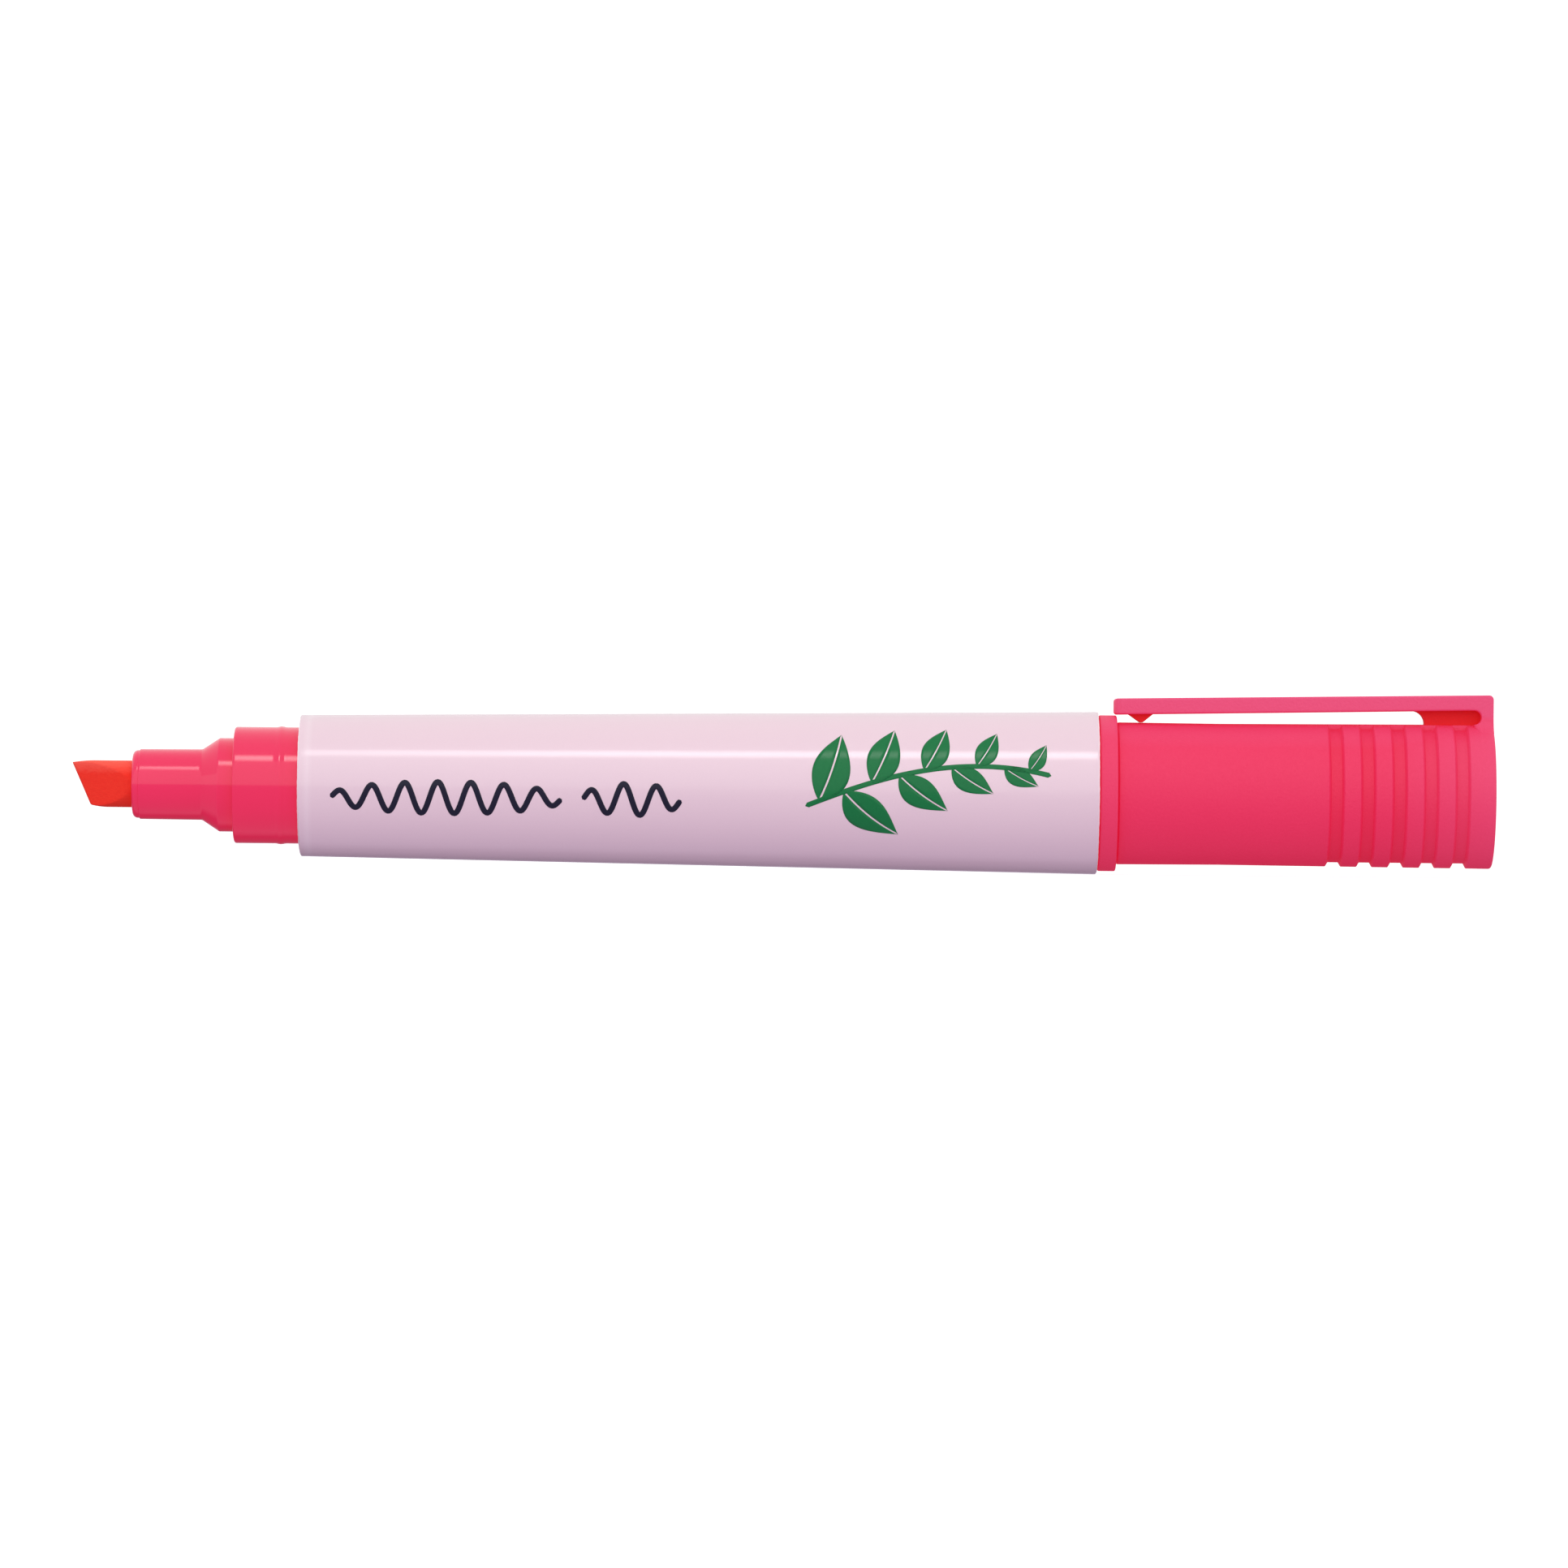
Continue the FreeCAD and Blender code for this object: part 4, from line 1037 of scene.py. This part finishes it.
class HIGHLIGHTER_OT_cap(bpy.types.Operator):
    """Cap: bored tube with grip grooves that stop at the spine under the clip"""
    bl_idname = "highlighter.cap"
    bl_label = "Cap"

    def execute(self, context):
        """Two outlines with the same points are turned about the axis: one dips into every groove
        and the other doesn't. A step in the angle goes from the first to the second over the
        spine."""
        cap = settings().cap
        mouth, end = span("cap_shell")
        lead, brink = 0.15 * MM, 0.09 * MM

        def band(x):
            """Outside radius of the cap without its grooves."""
            along = x - mouth
            fore = cap.mouth_radius + (cap.waist_radius - cap.mouth_radius) * along / cap.waist
            aft = cap.waist_radius + (cap.end_radius - cap.waist_radius) * (along - cap.waist) / (
                end - mouth - cap.waist)
            return np.where(along < cap.waist, fore, aft)

        corners = [(mouth, cap.bore, lead), (mouth, cap.mouth_radius, cap.mouth_round),
                   (mouth + cap.waist, cap.waist_radius, 0)]
        for number in range(cap.groove_count):
            middle = mouth + cap.groove_first + number * cap.groove_pitch
            wide = cap.groove_floor + cap.groove_flare
            corners += [
                (middle - wide, float(band(middle - wide)), brink),
                (middle - cap.groove_floor, cap.groove_radius, brink),
                (middle + cap.groove_floor, cap.groove_radius, brink),
                (middle + wide, float(band(middle + wide)), brink),
            ]
        corners += [
            (end, cap.end_radius, cap.end_round),
            (end, 0, 0),
        ]
        outside = outline(corners, spacing=0.6 * MM)
        inside = outline([
            (mouth + cap.back_depth, 0, 0),
            (mouth + cap.back_depth, cap.back_radius, 0.6 * MM),
            (mouth + cap.liner_seat, cap.back_radius, 0.05 * MM),
            (mouth + cap.liner_seat, cap.liner_bore, 0),
            (mouth + cap.liner_depth, cap.liner_bore, 0.1 * MM),
            (mouth + cap.liner_depth, cap.bore, 0.05 * MM),
            (mouth + lead, cap.bore, 0),
        ], spacing=1.5 * MM)
        grooved = np.vstack([inside, outside])
        x = grooved[:, 0]
        in_grooves = (np.arange(len(x)) > len(inside)) & (x > mouth + cap.waist) & (x < end - cap.end_band)
        plain = grooved.copy()
        plain[:, 1] = np.where(in_grooves, band(x), plain[:, 1])
        half = math.asin(cap.spine / cap.waist_radius)
        slope, fine, coarse = 0.008, 0.012, 0.03
        near = np.linspace(half - fine, half + fine, 7)
        near = np.concatenate([-near[::-1], np.linspace(-half + coarse, half - coarse, 7), near])
        rest = np.linspace(half + coarse, TURN - half - coarse, 190)
        angles = np.concatenate([near, rest])[None, :] + math.pi / 2
        off_spine = np.abs((angles - math.pi / 2 + math.pi) % TURN - math.pi)
        stop = smooth_step((half + slope - off_spine) / (2 * slope))
        radius = grooved[:, 1:] * (1 - stop) + plain[:, 1:] * stop
        piece = grid_piece("cap_tube", around_axis(x[:, None], radius, angles))
        shade(piece, keep_or_make("eroded_pink", moulded_matte))
        settle(piece, "cap", "matte_pink", "cap_shell")
        return {"FINISHED"}


def plate_points(under, over, half, edge):
    """Grid of a bar between an under line and an over line (x, z), one line for each. Every section
    is a rectangle with its four corners rounded: the corner arcs are measured in from the lines
    and from the sides, in metres. half is the section's half width, one value for each point."""
    quarter = np.linspace(0, math.pi / 2, 6)
    thick = np.linalg.norm(over - under, axis=1)[:, None]
    corner_y = half[:, None] - edge * (1 - np.cos(quarter))
    corner_share = edge * (1 - np.sin(quarter)) / thick
    middle_y = half[:, None] * np.array([[0.5, 0, -0.5]])
    low_y = np.concatenate([corner_y, middle_y, -corner_y[:, ::-1]], axis=1)
    low_share = np.concatenate([corner_share, 0 * middle_y, corner_share[:, ::-1]], axis=1)
    rise = corner_share[:, :1] + (1 - 2 * corner_share[:, :1]) * np.linspace(0, 1, 8)[None, 1:-1]
    side_y = half[:, None] + 0 * rise
    y = np.concatenate([low_y, -side_y, low_y[:, ::-1], side_y], axis=1)
    shares = np.concatenate([low_share, rise, 1 - low_share[:, ::-1], rise[:, ::-1]], axis=1)
    line = under[:, None, :] * (1 - shares[..., None]) + over[:, None, :] * shares[..., None]
    return closed_ends(on_axis(line[..., 0], y, line[..., 1]))


class HIGHLIGHTER_OT_clip(bpy.types.Operator):
    """Clip: the arm with its root block, the web behind the slot, and the tooth"""
    bl_idname = "highlighter.clip"
    bl_label = "Clip"

    def execute(self, context):
        """The arm is a bar between an under line and an over line. Both run straight from the tip to
        the root and turn down into the cap, the under line round the slot's end. Behind the
        tip both lines and the sides come in along quarter circles. The root's sides flare by an arc
        that touches them and the cap's outside, so that the root grows out of the cap without a
        line."""
        clip = settings().clip
        tip, end = low("cap_clip", 0), high("cap_shell", 0)
        half = high("cap_clip", 1)
        slot_x = end - clip.slot_end
        bend = slot_x - clip.bend_lead

        def under_at(x):
            return clip.tip_under + (clip.root_under - clip.tip_under) * (x - tip) / (slot_x - tip)

        def over_at(x):
            return clip.tip_top + (clip.root_top - clip.tip_top) * (x - tip) / (end - tip)

        start = np.concatenate([clip.nose_round * (1 - np.cos(np.linspace(0, math.pi / 2, 14))),
                                np.linspace(clip.nose_round, bend - tip, 90)[1:]])
        arm_x = tip + start
        squeeze = clip.tip_round * (1 - quarter_circle(start / clip.tip_round))
        nose = clip.nose_round * (1 - quarter_circle(start / clip.nose_round))
        under_arm = np.stack([arm_x, under_at(arm_x) + squeeze], axis=1)
        over_arm = np.stack([arm_x, over_at(arm_x) - squeeze], axis=1)
        down = np.linspace(math.pi / 2, -math.pi / 2, 25)[1:, None]
        centre = np.array([slot_x, clip.slot_height])
        under_bend = centre + clip.slot_round * np.hstack([np.cos(down), np.sin(down)])
        slot_floor = clip.slot_height - clip.slot_round
        over_corner = turn_corner((bend, over_at(bend)), (end, clip.root_top), (end, clip.foot),
                                  clip.corner, 12)
        over_down = np.stack([np.full(12, end), np.linspace(over_corner[-1][1], slot_floor, 13)[1:]], axis=1)
        level = np.linspace(slot_floor, clip.root_foot, 11)[1:]
        under = np.vstack([under_arm, under_bend, np.stack([np.full(10, slot_x), level], axis=1)])
        over = np.vstack([over_arm, over_corner, over_down, np.stack([np.full(10, end), level], axis=1)])
        width = half - np.concatenate([nose, np.zeros(len(under) - len(nose))])
        points = plate_points(under, over, width, clip.edge)
        hollow = clip.root_fillet
        from_centre = settings().cap.end_radius + hollow
        arc_z = math.sqrt(from_centre ** 2 - (half + hollow) ** 2)
        sink = np.clip(arc_z - (points[..., 2] - AXIS_Z), 0, arc_z * hollow / from_centre)
        flare = hollow - np.sqrt(hollow ** 2 - sink ** 2)
        flare = flare * np.clip((points[..., 0] - slot_x) / clip.fillet_lead, 0, 1)
        points[..., 1] = points[..., 1] * (1 + flare / half)
        arm = grid_piece("clip_arm", points)
        shade(arm, keep_or_make("eroded_pink", moulded_matte))
        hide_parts("cap_clip")
        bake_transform(arm)

        level = np.linspace(clip.foot, clip.root_under + clip.web_top, 30)
        arc_foot = under_at(end - clip.web_front) - clip.web_round
        front_edge = (end - clip.web_front
                      - clip.web_round * (1 - quarter_circle(1 - (level - arc_foot) / clip.web_round)))
        fore = np.stack([front_edge, level], axis=1)
        aft = np.stack([np.full(30, slot_x + clip.web_rear), level], axis=1)
        web = grid_piece("clip_web", plate_points(fore, aft, np.full(30, clip.web), 0.1 * MM))
        # The web takes the painted-shade red.
        shade(web, keep_or_make("painted_shade_red_wall", moulded_recess_shade))
        settle(web, "cap", "matte_pink")

        reach = tip + np.array([clip.tooth_front, clip.tooth_apex - clip.tooth_flat,
                                clip.tooth_apex + clip.tooth_flat, clip.tooth_rear])
        drop = np.array([under_at(reach[0]), clip.tooth_height, clip.tooth_height, under_at(reach[3])])
        fine = np.linspace(0, 3, 25)
        tooth_x = np.interp(fine, range(4), reach)
        lower = np.stack([tooth_x, np.interp(fine, range(4), drop)], axis=1)
        upper = np.stack([tooth_x, under_at(tooth_x) + clip.tooth_top], axis=1)
        tooth = grid_piece("clip_tooth", plate_points(lower, upper, np.full(25, clip.tooth_half), 0.08 * MM))
        # The tooth takes the painted-shade red.
        shade(tooth, keep_or_make("painted_shade_red_wall", moulded_recess_shade))
        settle(tooth, "clip", "matte_pink")
        return {"FINISHED"}


class HIGHLIGHTER_OT_liner(bpy.types.Operator):
    """Seal cup inside the cap, turned about the axis"""
    bl_idname = "highlighter.liner"
    bl_label = "Seal cup"

    def execute(self, context):
        mouth, rear = span("cap_liner")
        seat = high("cap_liner", 1)
        cap = settings().cap
        bore = cap.cup_bore
        floor_x = rear - cap.cup_floor
        path = outline([
            (floor_x, 0, 0),
            (floor_x, bore, 0.5 * MM),
            (mouth + cap.cup_lead, bore, 0.1 * MM),
            (mouth, bore + cap.cup_lead, 0.08 * MM),
            (mouth, bore + cap.cup_wall, 0.15 * MM),
            (floor_x, bore + cap.cup_wall, 0.3 * MM),
            (floor_x, seat, 0.2 * MM),
            (rear, seat, 0.2 * MM),
            (rear, 0, 0),
        ])
        piece = grid_piece("cap_seal_cup", turned_points(path, 96))
        shade(piece, keep_or_make("milky_polythene", soft_plastic))
        settle(piece, "cap", "liner_plastic", "cap_liner")
        return {"FINISHED"}


class HIGHLIGHTER_OT_refill(bpy.types.Operator):
    """Finishes of the sealed ink reservoir and its wrap, which keep their frame shapes"""
    bl_idname = "highlighter.refill"
    bl_label = "Refill"

    def execute(self, context):
        shade(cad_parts["ink_reservoir"], keep_or_make("inked_fibre_core", wet_fibre))
        shade(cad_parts["reservoir_wrap"], keep_or_make("creased_clear_wrap", creased_wrap))
        return {"FINISHED"}


# ---------------------------------------------------------------- studio

def flat_card(name, side, height):
    """A square card lying level, as a grid of two rows."""
    reach = np.array([-side / 2, side / 2])
    x, y = np.meshgrid(reach, reach, indexing="ij")
    card = grid_piece(name, np.stack([x, y, np.full_like(x, height)], axis=-1), wrap_v=False)
    return card


class HIGHLIGHTER_OT_studio(bpy.types.Operator):
    """Camera, pale floor and the soft light of a small light tent"""
    bl_idname = "highlighter.studio"
    bl_label = "Studio"

    def execute(self, context):
        """The light is a sky: white above the horizon, a dimmer tint below it, a brighter low wall
        in front of the pen and a strip parallel to the pen. The camera itself sees plain white."""
        studio = settings().studio
        scene = context.scene
        floor = flat_card("floor", studio.floor_side, -studio.floor_gap)
        white = (1, 1, 1)
        paper = Finish("floor_paper", Roughness=0.9, Specular_IOR_Level=0.0,
                       Emission_Color=white, Emission_Strength=studio.floor_glow)
        tone = paper.noise(0.01, 2)
        paper.paint(Base_Color=paper.mix(tone, shaded(white, 0.26), shaded(white, 0.30)))
        shade(floor, paper.material)
        floor.visible_diffuse = False
        floor.visible_glossy = False
        floor.visible_shadow = False

        scene.world = bpy.data.worlds.new("studio_sky")
        sky = Board(scene.world)
        toward = sky.node("ShaderNodeTexCoord", {}, {}).outputs["Generated"]
        along, back, up = sky.axes(toward)
        round_pen = up.math("ARCTAN2", up, back * -1)
        behind = round_pen.around(studio.shade_middle, studio.shade_half, 0.3)
        below = sky.mix(behind, studio.lower, shaded(studio.lower, 1 - studio.shade_dim))
        light = sky.mix(up.above(0, 0.05), below, shaded(studio.upper, studio.upper_strength))
        front_wall = round_pen.around(studio.front_top / 2, studio.front_top / 2, 0.06)
        light = sky.mix(front_wall, light, shaded(white, studio.front_strength))
        strip = round_pen.around(studio.strip_height, studio.strip_half, 0.11) * along.around(
            0, studio.strip_reach, 0.08)
        light = sky.mix(strip, light, shaded(white, studio.strip_strength))
        lit = sky.node("ShaderNodeBackground", {}, {"Color": light})
        seen = sky.node("ShaderNodeBackground", {}, {"Color": white, "Strength": studio.white_strength})
        camera_ray = sky.node("ShaderNodeLightPath", {}, {}).outputs["Is Camera Ray"]
        chosen = sky.node("ShaderNodeMixShader", {}, {0: camera_ray, 1: lit.outputs[0], 2: seen.outputs[0]})
        sky.node("ShaderNodeOutputWorld", {}, {0: chosen.outputs[0]})

        lens = bpy.data.cameras.new("camera")
        lens.sensor_width = 36
        lens.lens = lens.sensor_width * studio.distance / studio.width
        lens.clip_start, lens.clip_end = 0.01, 200
        camera = bpy.data.objects.new("camera", lens)
        camera.matrix_world = (
            Matrix.Translation((studio.shift_x, -studio.distance, AXIS_Z + studio.shift_z))
            @ Matrix.Rotation(math.pi / 2, 4, "X") @ Matrix.Rotation(studio.roll, 4, "Z"))
        scene.collection.objects.link(camera)
        scene.camera = camera
        scene.view_settings.view_transform = "Standard"
        return {"FINISHED"}


# ---------------------------------------------------------------- panel and run

OPERATORS = (
    HIGHLIGHTER_OT_nib,
    HIGHLIGHTER_OT_holder,
    HIGHLIGHTER_OT_barrel,
    HIGHLIGHTER_OT_label,
    HIGHLIGHTER_OT_print,
    HIGHLIGHTER_OT_tail,
    HIGHLIGHTER_OT_cap,
    HIGHLIGHTER_OT_clip,
    HIGHLIGHTER_OT_liner,
    HIGHLIGHTER_OT_refill,
    HIGHLIGHTER_OT_studio,
)


class VIEW3D_PT_highlighter(bpy.types.Panel):
    """Lists the pieces of the highlighter"""
    bl_label = "Highlighter"
    bl_category = "Highlighter"
    bl_space_type = "VIEW_3D"
    bl_region_type = "UI"

    def draw(self, context):
        for operator in OPERATORS:
            self.layout.operator(operator.bl_idname)


CLASSES = (
    NibSettings, FrontSettings, LabelSettings, PrintSettings, TailSettings, CapSettings, ClipSettings,
    RefillSettings, StudioSettings, HighlighterSettings, *OPERATORS, VIEW3D_PT_highlighter,
)


def register():
    for item in CLASSES:
        bpy.utils.register_class(item)
    bpy.types.Scene.highlighter = PointerProperty(type=HighlighterSettings, name="Highlighter",
                                                  description="Sizes and colours of the highlighter")


def unregister():
    del bpy.types.Scene.highlighter
    for item in reversed(CLASSES):
        bpy.utils.unregister_class(item)


def main():
    """Builds every piece in order."""
    register()
    for operator in OPERATORS:
        group, name = operator.bl_idname.split(".")
        getattr(getattr(bpy.ops, group), name)()


if __name__ == "__main__":
    main()
